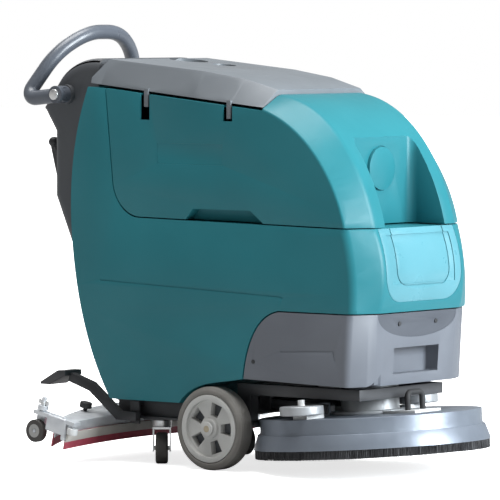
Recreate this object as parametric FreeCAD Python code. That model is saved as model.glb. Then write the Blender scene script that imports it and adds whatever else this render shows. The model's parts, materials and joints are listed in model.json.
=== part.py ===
import FreeCAD, Part
import math
import os

# Walk-behind floor scrubber, battery powered, with a 20 inch disc brush.
# X runs forward, Y to the left, Z up. All lengths are millimetres, and the pieces are drawn from the
# main axle (X = 0), the middle of the machine (Y = 0) and the floor (Z = 0). Each one is saved moved
# forward by axleX, so that the middle of the whole machine is at X = 0.

# Driving dimensions
axleX = 6.08
wheelRadius = 100.0
wheelWidth = 50.0
wheelOuterY = 242.5
rimRadius = 81.0
axleRadius = 10.0
casterRadius = 38.0
casterWidth = 30.0
casterX = -215.0
casterY = 150.0
casterTrail = 24.0
rightCasterHeading = 128.0
leftCasterHeading = 160.0

bodyHalfWidth = 230.0
frontFaceHalfWidth = 162.0
tankWall = 5.0
tankGap = 3.0
splitZ = 588.0
lidHalfWidth = 222.0
lidWall = 4.0
channelHalfWidth = 120.0
channelBackX = 328.0
channelTopZ = 811.0
screwRadius = 5.0

consoleHalfWidth = 185.0
consoleFrontX = -384.0
panelSlope = 53.0
handleTubeRadius = 18.0
handleHalfWidth = 215.0
handleBoltX = -482.0
handleBoltZ = 889.0

leverPivotX = -548.0
leverPivotZ = 664.0
leverY = -125.0
hoseRadius = 19.0
hoseTopX = -462.0

deckRadius = 283.0
deckHeight = 95.0
deckX = 308.0
deckLift = 43.0
deckTilt = 4.05
brushRadius = 254.0
armPivotX = 60.0
armPivotZ = 155.0
deckPivotBack = 75.0
deckPivotUp = 112.0

squeegeeHalfWidth = 375.0
squeegeeLift = 12.0
liftPivotX = -150.0
liftPivotZ = 128.0
swingX = -395.0

pedalPivotX = -268.0
pedalPivotZ = 112.0
pedalY = -200.0

runningFit = 0.05

Vector = FreeCAD.Vector
up = Vector(0, 0, 1)
across = Vector(0, 1, 0)


def block(x0, x1, y0, y1, z0, z1):
    return Part.makeBox(x1 - x0, y1 - y0, z1 - z0, Vector(x0, y0, z0))


def rod(radius, start, end):
    axis = end.sub(start)
    return Part.makeCylinder(radius, axis.Length, start, axis)


def ring(outer, inner, start, end):
    return rod(outer, start, end).cut(rod(inner, start, end))


def join(shapes):
    return shapes[0].fuse(shapes[1:]).removeSplitter()


def group(shapes):
    return Part.makeCompound(shapes)


def mirrored(shape):
    return shape.mirror(Vector(0, 0, 0), across)


def turned(shape, point, axis, degrees):
    copy = shape.copy()
    copy.rotate(point, axis, degrees)
    return copy


def run(points):
    if len(points) == 2:
        return Part.makeLine(points[0], points[1])
    curve = Part.BSplineCurve()
    curve.interpolate(points)
    return curve.toShape()


def outline(y, runs):
    edges = []
    for points in runs:
        edges.append(run([Vector(x, y, z) for x, z in points]))
    return Part.Wire(edges)


def slab(y0, y1, runs):
    return Part.Face(outline(y0, runs)).extrude(Vector(0, y1 - y0, 0))


def chamferedBody(coreRuns, sideRuns):
    pieces = [slab(-frontFaceHalfWidth, frontFaceHalfWidth, coreRuns)]
    for side in (-1, 1):
        inner = outline(side * frontFaceHalfWidth, coreRuns)
        outer = outline(side * bodyHalfWidth, sideRuns)
        pieces.append(Part.makeLoft([inner, outer], True, True))
    return join(pieces)


def insetRuns(runs, inset):
    # Every corner of a closed outline moves inward by the wall, and the runs keep their kind
    corners = [point for points in runs for point in points[:-1]]
    area = 0
    for (x0, z0), (x1, z1) in zip(corners, corners[1:] + corners[:1]):
        area += x0 * z1 - x1 * z0
    turn = 1 if area > 0 else -1
    moved = []
    for before, here, after in zip(corners[-1:] + corners[:-1], corners, corners[1:] + corners[:1]):
        a = Vector(here[0] - before[0], 0, here[1] - before[1]).normalize()
        b = Vector(after[0] - here[0], 0, after[1] - here[1]).normalize()
        inward = Vector(-a.z - b.z, 0, a.x + b.x).multiply(turn)
        reach = 2 * inset / inward.Length ** 2
        moved.append((here[0] + inward.x * reach, here[1] + inward.z * reach))
    result = []
    start = 0
    for points in runs:
        end = start + len(points)
        result.append((moved + moved[:1])[start:end])
        start = end - 1
    return result


def insetSlab(y, runs, inset):
    return slab(-y, y, insetRuns(runs, inset))


def hollow(coreRuns, sideRuns, wall):
    core = insetSlab(frontFaceHalfWidth - wall, coreRuns, wall)
    sides = insetSlab(bodyHalfWidth - wall, sideRuns, wall)
    return core.fuse(sides)


def roundedTube(points, bends, radius):
    edges = []
    start = points[0]
    for before, corner, after, bend in zip(points, points[1:], points[2:], bends):
        inward = before.sub(corner).normalize()
        outward = after.sub(corner).normalize()
        half = 0.5 * math.acos(inward.dot(outward))
        reach = bend / math.tan(half)
        a = corner.add(Vector(inward).multiply(reach))
        b = corner.add(Vector(outward).multiply(reach))
        middle = inward.add(outward).normalize().multiply(bend / math.sin(half) - bend)
        edges.append(Part.makeLine(start, a))
        edges.append(Part.Arc(a, corner.add(middle), b).toShape())
        start = b
    edges.append(Part.makeLine(start, points[-1]))
    path = Part.Wire(edges)
    circle = Part.makeCircle(radius, points[0], points[1].sub(points[0]))
    return path.makePipeShell([Part.Wire([circle])], True, False)


def crescent(tipX, middleX, thickness, z0, z1, halfWidth=squeegeeHalfWidth):
    front = [Vector(tipX, -halfWidth, z0), Vector(middleX, 0, z0), Vector(tipX, halfWidth, z0)]
    back = [point.sub(Vector(thickness, 0, 0)) for point in front]
    edges = [Part.Arc(front[0], front[1], front[2]).toShape()]
    edges.append(Part.makeLine(front[2], back[2]))
    edges.append(Part.Arc(back[2], back[1], back[0]).toShape())
    edges.append(Part.makeLine(back[0], front[0]))
    return Part.Face(Part.Wire(edges)).extrude(Vector(0, 0, z1 - z0))


# Tank outlines, rear to front, in the middle and at the sides
splitCurve = [(-225, splitZ + 11), (-256, splitZ + 21), (-281, splitZ + 42), (-302, splitZ + 92)]
upperBack = [(-302, splitZ + 92), (-325, 906)]
upperMiddle = [
    [(-225, splitZ + 11), (430, splitZ)],
    [(430, splitZ), (369, 741), (270, 850), (150, 896)],
    [(150, 896), (149, 860)],
    [(149, 860), (-325, 906)],
    list(reversed(upperBack)),
    list(reversed(splitCurve)),
]
upperSide = [
    [(-225, splitZ + 11), (391, splitZ)],
    [(391, splitZ), (359, 677), (277, 787), (150, 862)],
    [(150, 862), (149, 858)],
    [(149, 858), (-325, 906)],
    list(reversed(upperBack)),
    list(reversed(splitCurve)),
]
lowerBack = [(-381, 909), (-428, 730), (-424, 480), (-375, 283), (-312, 156)]
lowerBottom = [
    [(-312, 156), (-99, 156)],
    [(-99, 156), (-35, 200), (40, 214), (92, 223)],
    [(92, 223), (110, 304), (148, 364), (199, 388)],
]
lowerSplit = [
    [(-225, splitZ + 8), (-259, splitZ + 18), (-284, splitZ + 40), (-305, splitZ + 92)],
    [(-305, splitZ + 92), (-328, 906)],
    [(-328, 906), (-381, 909)],
]
lowerMiddle = [lowerBack] + lowerBottom + [
    [(199, 388), (445, 388)],
    [(445, 388), (457, 465), (430, splitZ - tankGap)],
    [(430, splitZ - tankGap), (-225, splitZ + 8)],
] + lowerSplit
lowerSide = [lowerBack] + lowerBottom + [
    [(199, 388), (415, 388)],
    [(415, 388), (411, 490), (391, splitZ - tankGap)],
    [(391, splitZ - tankGap), (-225, splitZ + 8)],
] + lowerSplit


# Places of the tank fittings
wellX0 = -245.0
wellX1 = 102.0
wellFrontX = 325.0
wellHalfWidth = 165.0
wellFloorZ = 310.0
vacuumFloorZ = 396.0
fillRadius = 18.0
fillX = -354.0
tankMouthX0 = -290.0
tankMouthX1 = 95.0
tankMouthHalfWidth = 150.0
tabPlaces = (-204.0, 47.0)
tabWidth = 14.0
panelDepth = 2.0


def bayBlock(wall):
    halfY = wellHalfWidth + wall
    batteryBay = block(wellX0 - wall, wellX1 + wall, -halfY, halfY, wellFloorZ - wall, 700)
    vacuumBay = block(wellX1 - 1, wellFrontX + wall, -halfY, halfY, vacuumFloorZ - wall, 700)
    return batteryBay.fuse(vacuumBay)


def lowerTank():
    shell = chamferedBody(lowerMiddle, lowerSide)
    water = hollow(lowerMiddle, lowerSide, tankWall)
    water = water.cut(bayBlock(tankWall))
    well = bayBlock(0)
    filler = rod(fillRadius, Vector(fillX, 0, 860), Vector(fillX, 0, 930))
    skin = slab(-125, 125, lowerMiddle).cut(insetSlab(130, lowerMiddle, panelDepth))
    panel = skin.common(block(400, 480, -125, 125, 455, 570))
    return shell.cut(water).cut(well).cut(filler).cut(panel)


def recoveryTank():
    shell = chamferedBody(upperMiddle, upperSide)
    channel = block(channelBackX, 480, -channelHalfWidth, channelHalfWidth, splitZ - 5, channelTopZ)
    backEdges = []
    for edge in channel.Edges:
        if edge.BoundBox.XMax < channelBackX + 1 and edge.BoundBox.ZMax > splitZ:
            backEdges.append(edge)
    channel = channel.makeFillet(22, backEdges)
    cavity = hollow(upperMiddle, upperSide, tankWall)
    liner = block(channelBackX - tankWall, 480, -channelHalfWidth - tankWall,
                  channelHalfWidth + tankWall, splitZ - 5, channelTopZ + tankWall)
    grip = [[(-84, 580), (154, 580)], [(154, 580), (154, 592)], [(154, 592), (115, 622)],
            [(115, 622), (-57, 622)], [(-57, 622), (-84, 592)], [(-84, 592), (-84, 580)]]
    gripLiner = slab(-bodyHalfWidth, -195, grip).BoundBox
    liner = liner.fuse(block(gripLiner.XMin, gripLiner.XMax, -bodyHalfWidth, -195, 580, 627))
    shell = shell.cut(cavity.cut(liner)).cut(channel)
    shell = shell.cut(slab(-bodyHalfWidth - 1, -200, grip))
    mouth = block(tankMouthX0, tankMouthX1, -tankMouthHalfWidth, tankMouthHalfWidth, 848, 930)
    shell = shell.cut(mouth)
    badgeStart = Vector(channelBackX - 1, 0, 721)
    shell = shell.fuse(rod(51, badgeStart, Vector(channelBackX + 6, 0, 721)))
    for x in tabPlaces:
        shell = shell.cut(block(x - tabWidth, x + tabWidth, -bodyHalfWidth - 1, -216, 832, 930))
    return shell


def lidSection(x, bottomZ, topHalf, topZ, inset):
    low = lidHalfWidth - inset
    high = topHalf - inset
    corners = [Vector(x, -low, bottomZ), Vector(x, low, bottomZ)]
    corners += [Vector(x, high, topZ - inset), Vector(x, -high, topZ - inset)]
    return Part.makePolygon(corners + [corners[0]])


def lidBlock(inset, drop):
    rear = lidSection(-378 + inset, 918 - drop, 218, 932, inset)
    hip = lidSection(-345 + inset, 914.6 - drop, 190, 976, inset)
    middle = lidSection(-67, 886.9 - drop, 181, 950, inset)
    bend = lidSection(54, 874.8 - drop, 172, 932, inset)
    front = lidSection(147 - inset, 866 - drop, 164, 907, inset)
    return Part.makeLoft([rear, hip, middle, bend, front], True, True)


# The lid turns about a line along its left lower edge
lidHingeStart = Vector(-378, 224, 916)
lidHingeLine = Vector(0.995095, 0, -0.098922)
lidHingePlaces = (110.0, 400.0)
lidBarrelHalf = 24.0
lidBarrelRadius = 4.5
lidPinRadius = 2.0
lidEarLength = 10.0
lidTrim = 0.2


def alongLid(distance):
    return lidHingeStart.add(Vector(lidHingeLine).multiply(distance))


def lidEarSpans():
    spans = []
    for place in lidHingePlaces:
        for start in (place - lidBarrelHalf - 1 - lidEarLength, place + lidBarrelHalf + 1):
            spans.append((alongLid(start), alongLid(start + lidEarLength)))
    return spans


def lidTopTrim():
    slope = math.degrees(math.atan2(976 - 950, 345 - 67))
    above = block(-400, 0, -240, 240, 976 - lidTrim, 1040)
    return turned(above, Vector(-345, 0, 976), across, slope)


def tankLid():
    lid = lidBlock(0, 0).cut(lidBlock(lidWall, 1)).cut(lidTopTrim())
    for start, end in lidEarSpans():
        lid = lid.cut(block(start.x - 1.5, end.x + 1.5, 205, 232, end.z - 14, start.z + 16))
    for place in lidHingePlaces:
        start = alongLid(place - lidBarrelHalf)
        end = alongLid(place + lidBarrelHalf)
        lid = lid.fuse(rod(lidBarrelRadius, start, end)).cut(rod(lidPinRadius + runningFit, start, end))
    for x, y, radius, floor in ((-300, 60, 49, 935), (-188, 60, 29, 930)):
        cup = rod(radius + 3, Vector(x, y, floor), Vector(x, y, 990)).common(lidBlock(0, 0))
        cup = cup.cut(lidTopTrim())
        lid = lid.fuse(cup).cut(rod(radius, Vector(x, y, floor + 3), Vector(x, y, 990)))
    for x in tabPlaces:
        edgeZ = 918 - 0.0994 * (x + 378)
        tab = block(x - 6, x + 6, -lidHalfWidth - 4, -lidHalfWidth + 3, edgeZ - 38, edgeZ + 6)
        lid = lid.fuse(tab)
    return lid.removeSplitter()


def lidGasket():
    outer = block(tankMouthX0 - 14, tankMouthX1 + 14, -164, 164, 850, 925)
    inner = block(tankMouthX0 - 4, tankMouthX1 + 4, -154, 154, 840, 935)
    seat = slab(-170, 170, [[(-340, 908), (-340, 914)], [(-340, 914), (149, 866.6)],
                            [(149, 866.6), (149, 860.6)], [(149, 860.6), (-340, 908)]])
    return outer.cut(inner).common(seat)


def frontCover():
    top = [(96, 223), (113, 300), (150, 360), (199, 385)]
    middle = [top, [(199, 385), (440, 385)], [(440, 385), (430, 216)], [(430, 216), (96, 223)]]
    side = [top, [(199, 385), (408, 385)], [(408, 385), (398, 216)], [(398, 216), (96, 223)]]
    shell = chamferedBody(middle, side)
    cavity = hollow(middle, side, 4)
    cavity = cavity.fuse(block(105, 385, -224, 224, 200, 240))
    pocketWall = block(394, 445, -94, 94, 237, 307).common(shell)
    pocket = block(398, 450, -90, 90, 241, 303)
    shell = shell.cut(cavity.cut(pocketWall)).cut(pocket)
    return shell.cut(screwRods(screwRadius + 0.2))


def screwRods(radius):
    screws = []
    for y in (-73, 73):
        screws.append(rod(radius, Vector(434, y, 360), Vector(440, y, 360)))
    for side in (-1, 1):
        screws.append(rod(radius, Vector(125, side * 224, 265), Vector(125, side * 231, 265)))
    return screws


def coverScrews():
    return group(screwRods(screwRadius))


def behindTank(gap):
    return slab(-bodyHalfWidth, bodyHalfWidth, [
        [(x - gap, z) for x, z in lowerBack],
        [(-312 - gap, 156), (-200, 156)],
        [(-200, 156), (-200, 909)],
        [(-200, 909), (-381 - gap, 909)],
    ])


def consoleHousing():
    rear = [
        [(consoleFrontX, 976), (consoleFrontX, 905)],
        [(consoleFrontX, 905), (-432, 730), (-432, 600), (-427, 531)],
        [(-427, 531), (-485, 531)],
        [(-485, 531), (-533, 640)],
        [(-533, 640), (-533, 798)],
        [(-533, 798), (-571, 856)],
        [(-571, 856), (-517, 928)],
        [(-517, 928), (-460, 967), (-420, 976), (consoleFrontX, 976)],
    ]
    shell = slab(-consoleHalfWidth, consoleHalfWidth, rear).cut(behindTank(tankGap))
    corners = [edge for edge in shell.Edges
               if edge.BoundBox.XMax < -484 and edge.BoundBox.YLength < 1]
    shell = shell.makeFillet(30, corners)
    inside = insetSlab(consoleHalfWidth - 8, rear, 5).cut(behindTank(tankGap + 5))
    inside = inside.cut(block(-600, -500, -200, 200, 840, 960))
    bosses = []
    for side in (-1, 1):
        bosses.append(rod(24, Vector(handleBoltX, side * 170, handleBoltZ), Vector(handleBoltX, side * 196, handleBoltZ)))
    leverLug = block(leverPivotX - 14, -531, leverY + 14, leverY + 22, leverPivotZ - 18, leverPivotZ + 18)
    holes = [rod(22, Vector(hoseTopX, 0, 510), Vector(hoseTopX, 0, 560))]
    holes.append(rod(6 + runningFit, Vector(leverPivotX, leverY, leverPivotZ),
                     Vector(leverPivotX, leverY + 30, leverPivotZ)))
    return shell.cut(inside).fuse(bosses + [leverLug]).cut(holes).removeSplitter()


def handleHoop():
    points = [Vector(handleBoltX + 16, -handleHalfWidth, handleBoltZ)]
    leg = [(-594, handleHalfWidth, 876), (-549, 148, 990), (-520, 60, 1040)]
    for x, y, z in leg:
        points.append(Vector(x, -y, z))
    for x, y, z in reversed(leg):
        points.append(Vector(x, y, z))
    points.append(Vector(handleBoltX + 16, handleHalfWidth, handleBoltZ))
    hoop = roundedTube(points, [24, 190, 160, 160, 190, 24], handleTubeRadius)
    for side in (-1, 1):
        foot = rod(21, Vector(handleBoltX, side * 197, handleBoltZ), Vector(handleBoltX, side * 234, handleBoltZ))
        hoop = hoop.fuse(foot)
    for side in (-1, 1):
        hole = rod(7, Vector(handleBoltX, side * 190, handleBoltZ), Vector(handleBoltX, side * 236, handleBoltZ))
        hoop = hoop.cut(hole)
    return hoop


def handleBolts():
    bolts = []
    for side in (-1, 1):
        shank = rod(6.9, Vector(handleBoltX, side * 197, handleBoltZ), Vector(handleBoltX, side * 235, handleBoltZ))
        head = rod(13, Vector(handleBoltX, side * 234.2, handleBoltZ), Vector(handleBoltX, side * 241, handleBoltZ))
        bolts.append(shank.fuse(head))
    return group(bolts)


# The operator panel leans back: its middle, its slope direction and its outward direction
panelCentre = Vector(-544, 0, 892)
slopeDirection = Vector(math.cos(math.radians(panelSlope)), 0, math.sin(math.radians(panelSlope)))
panelNormal = Vector(-slopeDirection.z, 0, slopeDirection.x)
panelLift = 1.0


def onPanel(y, along, height):
    point = panelCentre.add(Vector(0, y, 0))
    point = point.add(Vector(slopeDirection).multiply(along))
    return point.add(Vector(panelNormal).multiply(panelLift + height))


def panelPlate(halfY, halfAlong, y, along, height, thickness):
    corners = []
    for sideY, sideAlong in ((-1, -1), (1, -1), (1, 1), (-1, 1)):
        corners.append(onPanel(y + sideY * halfY, along + sideAlong * halfAlong, height))
    face = Part.Face(Part.makePolygon(corners + [corners[0]]))
    return face.extrude(Vector(panelNormal).multiply(thickness))


def panelRod(radius, y, along, height0, height1):
    return rod(radius, onPanel(y, along, height0), onPanel(y, along, height1))


panelThickness = 3.0
keyY = 110.0
knobY = 55.0
brushSwitchY = -5.0
vacuumSwitchY = -45.0
displayY = -105.0
rockerPinRadius = 1.1
rockerPinHeight = 1.5


def consolePanel():
    plate = panelPlate(150, 34, 0, 0, 0, panelThickness)
    for y, radius in ((keyY, 9.1), (knobY, 6.1)):
        plate = plate.cut(panelRod(radius, y, 0, -1, 5))
    for y in (brushSwitchY, vacuumSwitchY):
        plate = plate.cut(panelPlate(11, 17, y, 0, -1, 6))
        plate = plate.cut(rockerPin(y, rockerPinRadius + 0.15, 13))
    return plate.cut(panelPlate(30, 20, displayY, 0, 1, 6))


def keySwitch():
    barrel = panelRod(9, keyY, 0, 0.2, 6)
    bow = panelPlate(2, 10, keyY, 0, 6, 24)
    return barrel.fuse(bow)


def waterKnob():
    return panelRod(6, knobY, 0, 0.2, 4).fuse(panelRod(17, knobY, 0, 4, 20))


def rockerPin(y, radius, half):
    return rod(radius, onPanel(y - half, 0, rockerPinHeight), onPanel(y + half, 0, rockerPinHeight))


def rocker(y):
    cap = panelPlate(10.5, 16.5, y, 0, 2.6, 6)
    web = panelPlate(10.5, 4, y, 0, rockerPinHeight - 1.4, 3)
    return join([cap, web, rockerPin(y, rockerPinRadius, 12.5)])


def frameRails():
    pieces = []
    for side in (-1, 1):
        low, high = sorted((side * 138, side * 168))
        pieces.append(block(-335, 70, low, high, 114, 150))
        pieces.append(block(30, 70, low, high, 114, 206))
        pieces.append(block(30, 392, low, high, 180, 206))
        low, high = sorted((side * 85, side * 182))
        pieces.append(block(-335, -100, low, high, 108, 114))
        low, high = sorted((side * (casterY - 32), side * (casterY + 32)))
        pieces.append(block(casterX - 32, casterX + 32, low, high, 105, 108))
        low, high = sorted((side * 150, side * 166))
        pieces.append(block(-24, 24, low, high, 84, 114))
        low, high = sorted((side * 92, side * 98))
        pieces.append(block(armPivotX - 16, armPivotX + 16, low, high, 138, 194))
        low, high = sorted((side * 35, side * 41))
        pieces.append(block(liftPivotX - 16, liftPivotX + 16, low, high, 112, 150))
    pieces.append(block(-120, -90, -168, 168, 114, 150))
    pieces.append(block(liftPivotX - 16, -95, -168, 168, 140, 150))
    pieces.append(block(44, 70, -168, 168, 180, 206))
    pieces.append(block(378, 392, -168, 168, 180, 206))
    pieces.append(block(pedalPivotX - 14, pedalPivotX + 14, -190, -184, 95, 150))
    pieces.append(block(pedalPivotX - 14, pedalPivotX + 14, -190, -160, 140, 150))
    frame = join(pieces)
    holes = [rod(axleRadius, Vector(0, -200, wheelRadius), Vector(0, 200, wheelRadius))]
    armStart = Vector(armPivotX, -100, armPivotZ)
    holes.append(rod(7, armStart, Vector(armPivotX, 100, armPivotZ)))
    holes.append(rod(7, Vector(liftPivotX, -50, liftPivotZ), Vector(liftPivotX, 50, liftPivotZ)))
    holes.append(rod(7, Vector(pedalPivotX, -195, pedalPivotZ), Vector(pedalPivotX, -150, pedalPivotZ)))
    return frame.cut(holes)


def mainAxle():
    return rod(axleRadius, Vector(0, -246, wheelRadius), Vector(0, 246, wheelRadius))


def axleCaps():
    caps = []
    for side in (-1, 1):
        caps.append(rod(17, Vector(0, side * 246, wheelRadius), Vector(0, side * 250, wheelRadius)))
    return group(caps)


def wheelDisc(side):
    outerY = side * wheelOuterY
    innerY = side * (wheelOuterY - wheelWidth)
    centre = Vector(0, 0, wheelRadius)
    disc = ring(rimRadius, axleRadius + runningFit, centre.add(Vector(0, innerY, 0)),
                centre.add(Vector(0, outerY, 0)))
    for y0, y1 in ((innerY - side, innerY + side * 18), (outerY - side * 9, outerY + side)):
        disc = disc.cut(ring(68, 24, centre.add(Vector(0, y0, 0)), centre.add(Vector(0, y1, 0))))
    openings = 5
    for index in range(openings):
        angle = 360.0 * index / openings
        corners = []
        for radius, half in ((32, 19), (63, 15)):
            for sign in (-1, 1):
                turn = math.radians(angle + sign * half)
                corners.append(Vector(radius * math.cos(turn), -300, wheelRadius + radius * math.sin(turn)))
        corners = [corners[0], corners[1], corners[3], corners[2], corners[0]]
        cutter = Part.Face(Part.makePolygon(corners)).extrude(Vector(0, 600, 0))
        disc = disc.cut(cutter)
    return disc


def wheelTyre(side):
    outerY = side * wheelOuterY
    innerY = side * (wheelOuterY - wheelWidth)
    start = Vector(0, innerY, wheelRadius)
    tread = rod(wheelRadius, start, Vector(0, outerY, wheelRadius))
    shoulders = [edge for edge in tread.Edges if edge.Closed]
    tread = tread.makeFillet(12, shoulders)
    return tread.cut(rod(rimRadius, start, Vector(0, outerY, wheelRadius)))


def caster(side, heading):
    pivot = Vector(casterX, side * casterY, 0)
    wheelX = casterX - casterTrail
    y = side * casterY
    crown = rod(24, Vector(casterX, y, 86), Vector(casterX, y, 104))
    bridge = block(wheelX - 12, casterX + 20, y - 22, y + 22, 84, 89)
    fork = [crown, bridge]
    for offset in (-22, 18.5):
        leg = slab(y + offset, y + offset + 3.5, [
            [(wheelX - 12, casterRadius - 8), (wheelX + 12, casterRadius - 8)],
            [(wheelX + 12, casterRadius - 8), (casterX + 18, 89)],
            [(casterX + 18, 89), (wheelX - 10, 89)],
            [(wheelX - 10, 89), (wheelX - 12, casterRadius - 8)],
        ])
        fork.append(leg)
    pinStart = Vector(wheelX, y - 22, casterRadius)
    fork.append(rod(5, pinStart, Vector(wheelX, y + 22, casterRadius)))
    fork = join(fork)
    start = Vector(wheelX, y - casterWidth / 2, casterRadius)
    end = Vector(wheelX, y + casterWidth / 2, casterRadius)
    wheel = rod(casterRadius, start, end)
    shoulders = [edge for edge in wheel.Edges if edge.Closed]
    wheel = wheel.makeFillet(6, shoulders).cut(rod(5 + runningFit, start, end))
    return turned(fork, pivot, up, heading), turned(wheel, pivot, up, heading)


# The deck is drawn level with its bristles on the floor and its centre at X = 0, then lifted
def raisedDeck(shape):
    copy = shape.copy()
    copy.rotate(Vector(0, 0, 0), across, -deckTilt)
    copy.translate(Vector(deckX, 0, deckLift))
    return copy


deckPivot = raisedDeck(Part.Vertex(-deckPivotBack, 0, deckPivotUp)).Point
skirtHeight = 22.0
flangeTopZ = 58.0
domeRadius = 265.0
deckWall = 4.0
motorRadius = 70.0


def brushDeck():
    profile = [Vector(0, 0, deckHeight), Vector(domeRadius, 0, deckHeight),
               Vector(domeRadius, 0, flangeTopZ), Vector(deckRadius - 12, 0, flangeTopZ),
               Vector(deckRadius, 0, skirtHeight), Vector(deckRadius - deckWall, 0, skirtHeight),
               Vector(deckRadius - 12 - deckWall, 0, flangeTopZ - deckWall),
               Vector(domeRadius - deckWall, 0, deckHeight - deckWall),
               Vector(0, 0, deckHeight - deckWall), Vector(0, 0, deckHeight)]
    shell = Part.Face(Part.makePolygon(profile)).revolve(Vector(0, 0, 0), up, 360)
    shell = shell.cut(rod(20, Vector(0, 0, 80), Vector(0, 0, 100)))
    lugs = []
    for side in (-1, 1):
        low, high = sorted((side * 78, side * 84))
        lugs.append(block(-deckPivotBack - 16, -deckPivotBack + 16, low, high, deckHeight - 2, deckPivotUp + 14))
    shell = shell.fuse(lugs)
    pinStart = Vector(-deckPivotBack, -90, deckPivotUp)
    return shell.cut(rod(6, pinStart, Vector(-deckPivotBack, 90, deckPivotUp))).removeSplitter()


def deckSkirt():
    outer = deckRadius - 1
    return ring(outer, outer - 10, Vector(0, 0, 0.5), Vector(0, 0, skirtHeight))


def brushMotor():
    body = rod(motorRadius, Vector(0, 0, deckHeight), Vector(0, 0, 205))
    flange = rod(90, Vector(0, 0, deckHeight), Vector(0, 0, deckHeight + 8))
    return body.fuse(flange).cut(rod(14, Vector(0, 0, 90), Vector(0, 0, 125))).removeSplitter()


def brushHub():
    shaft = rod(12, Vector(0, 0, 78), Vector(0, 0, 122))
    return shaft.fuse(rod(60, Vector(0, 0, 66), Vector(0, 0, 80))).removeSplitter()


def brushBlock():
    return ring(brushRadius, 40, Vector(0, 0, 48), Vector(0, 0, 66))


def brushBristles():
    return ring(brushRadius, 110, Vector(0, 0, 0.5), Vector(0, 0, 48))


def deckTopPlate():
    plate = block(60, 168, -52, 52, deckHeight, deckHeight + 6)
    return plate.cut(rod(91, Vector(0, 0, 90), Vector(0, 0, 110)))


rollerRadius = 52.0
rollerX = -30.0
rollerY = 231.0


def deckBrackets():
    pieces = [deckTopPlate()]
    for side in (-1, 1):
        low, high = sorted((side * 172, side * (rollerY + 8)))
        arm = block(rollerX - 20, rollerX + 20, low, high, deckHeight, deckHeight + 9)
        top = deckHeight + 46
        pin = rod(8, Vector(rollerX, side * rollerY, deckHeight + 9), Vector(rollerX, side * rollerY, top))
        pieces.append(arm.fuse(pin))
    return group(pieces)


def guideRoller(side):
    start = Vector(rollerX, side * rollerY, deckHeight + 10)
    end = Vector(rollerX, side * rollerY, deckHeight + 32)
    tyre = rod(rollerRadius, start, end)
    rims = [edge for edge in tyre.Edges if edge.Closed]
    return tyre.makeFillet(4, rims).cut(rod(8 + runningFit, start, end))


def deckBumper():
    base = deckHeight + 6
    points = [Vector(132, -30, base), Vector(132, -30, base + 42),
              Vector(132, 30, base + 42), Vector(132, 30, base)]
    return roundedTube(points, [14, 14], 7)


def deckArms():
    pieces = []
    length = deckPivot.x - armPivotX
    rise = deckPivot.z - armPivotZ
    angle = -math.degrees(math.atan2(rise, length))
    reach = math.hypot(length, rise)
    for side in (-1, 1):
        low, high = sorted((side * 84.5, side * 91.5))
        bar = block(armPivotX - 14, armPivotX + reach + 14, low, high, armPivotZ - 11, armPivotZ + 11)
        pieces.append(bar)
    pieces.append(block(armPivotX + 60, armPivotX + 80, -91, 91, armPivotZ - 10, armPivotZ + 10))
    pieces.append(rod(6.9, Vector(armPivotX, -98, armPivotZ), Vector(armPivotX, 98, armPivotZ)))
    farX = armPivotX + reach
    for side in (-1, 1):
        pin = rod(5.9, Vector(farX, side * 78, armPivotZ), Vector(farX, side * 91, armPivotZ))
        pieces.append(pin)
    return turned(join(pieces), Vector(armPivotX, 0, armPivotZ), across, angle)


def deckPedal():
    bar = slab(pedalY - 8, pedalY + 8, [
        [(-250, 103), (-250, 124)], [(-250, 124), (-300, 124)], [(-300, 124), (-385, 190)],
        [(-385, 190), (-455, 212)], [(-455, 212), (-462, 190)], [(-462, 190), (-396, 169)],
        [(-396, 169), (-310, 103)], [(-310, 103), (-250, 103)],
    ])
    pad = slab(pedalY - 32, pedalY + 32, [
        [(-530, 181), (-500, 181)], [(-500, 181), (-452, 205)], [(-452, 205), (-453, 217)],
        [(-453, 217), (-476, 217)], [(-476, 217), (-530, 187)], [(-530, 187), (-530, 181)],
    ])
    start = Vector(pedalPivotX, pedalY, pedalPivotZ)
    pin = rod(6.9, start, Vector(pedalPivotX, -184, pedalPivotZ))
    return join([bar, pad, pin])


# The squeegee is drawn lowered, with its blades on the floor, then swung up on its lift arm
def raisedSqueegee(shape):
    return turned(shape, Vector(liftPivotX, 0, liftPivotZ), across, squeegeeLift)


frontTipX = -318.0
frontMiddleX = -350.0
rearTipX = -348.0
rearMiddleX = -432.0
strapTopZ = 62.0


def squeegeeArm():
    pieces = []
    for side in (-1, 1):
        low, high = sorted((side * 24, side * 34))
        pieces.append(slab(low, high, [
            [(liftPivotX + 14, 116), (liftPivotX + 14, 136)],
            [(liftPivotX + 14, 136), (liftPivotX - 14, 136)],
            [(liftPivotX - 14, 136), (-330, 108)],
            [(-330, 108), (-330, 84)],
            [(-330, 84), (liftPivotX - 14, 116)],
            [(liftPivotX - 14, 116), (liftPivotX + 14, 116)],
        ]))
    pieces.append(block(swingX - 24, -310, -34, 34, 84, 92))
    pieces.append(rod(6.9, Vector(liftPivotX, -41, liftPivotZ), Vector(liftPivotX, 41, liftPivotZ)))
    arm = join(pieces)
    return arm.cut(rod(8 + runningFit, Vector(swingX, 0, 80), Vector(swingX, 0, 100)))


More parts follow.
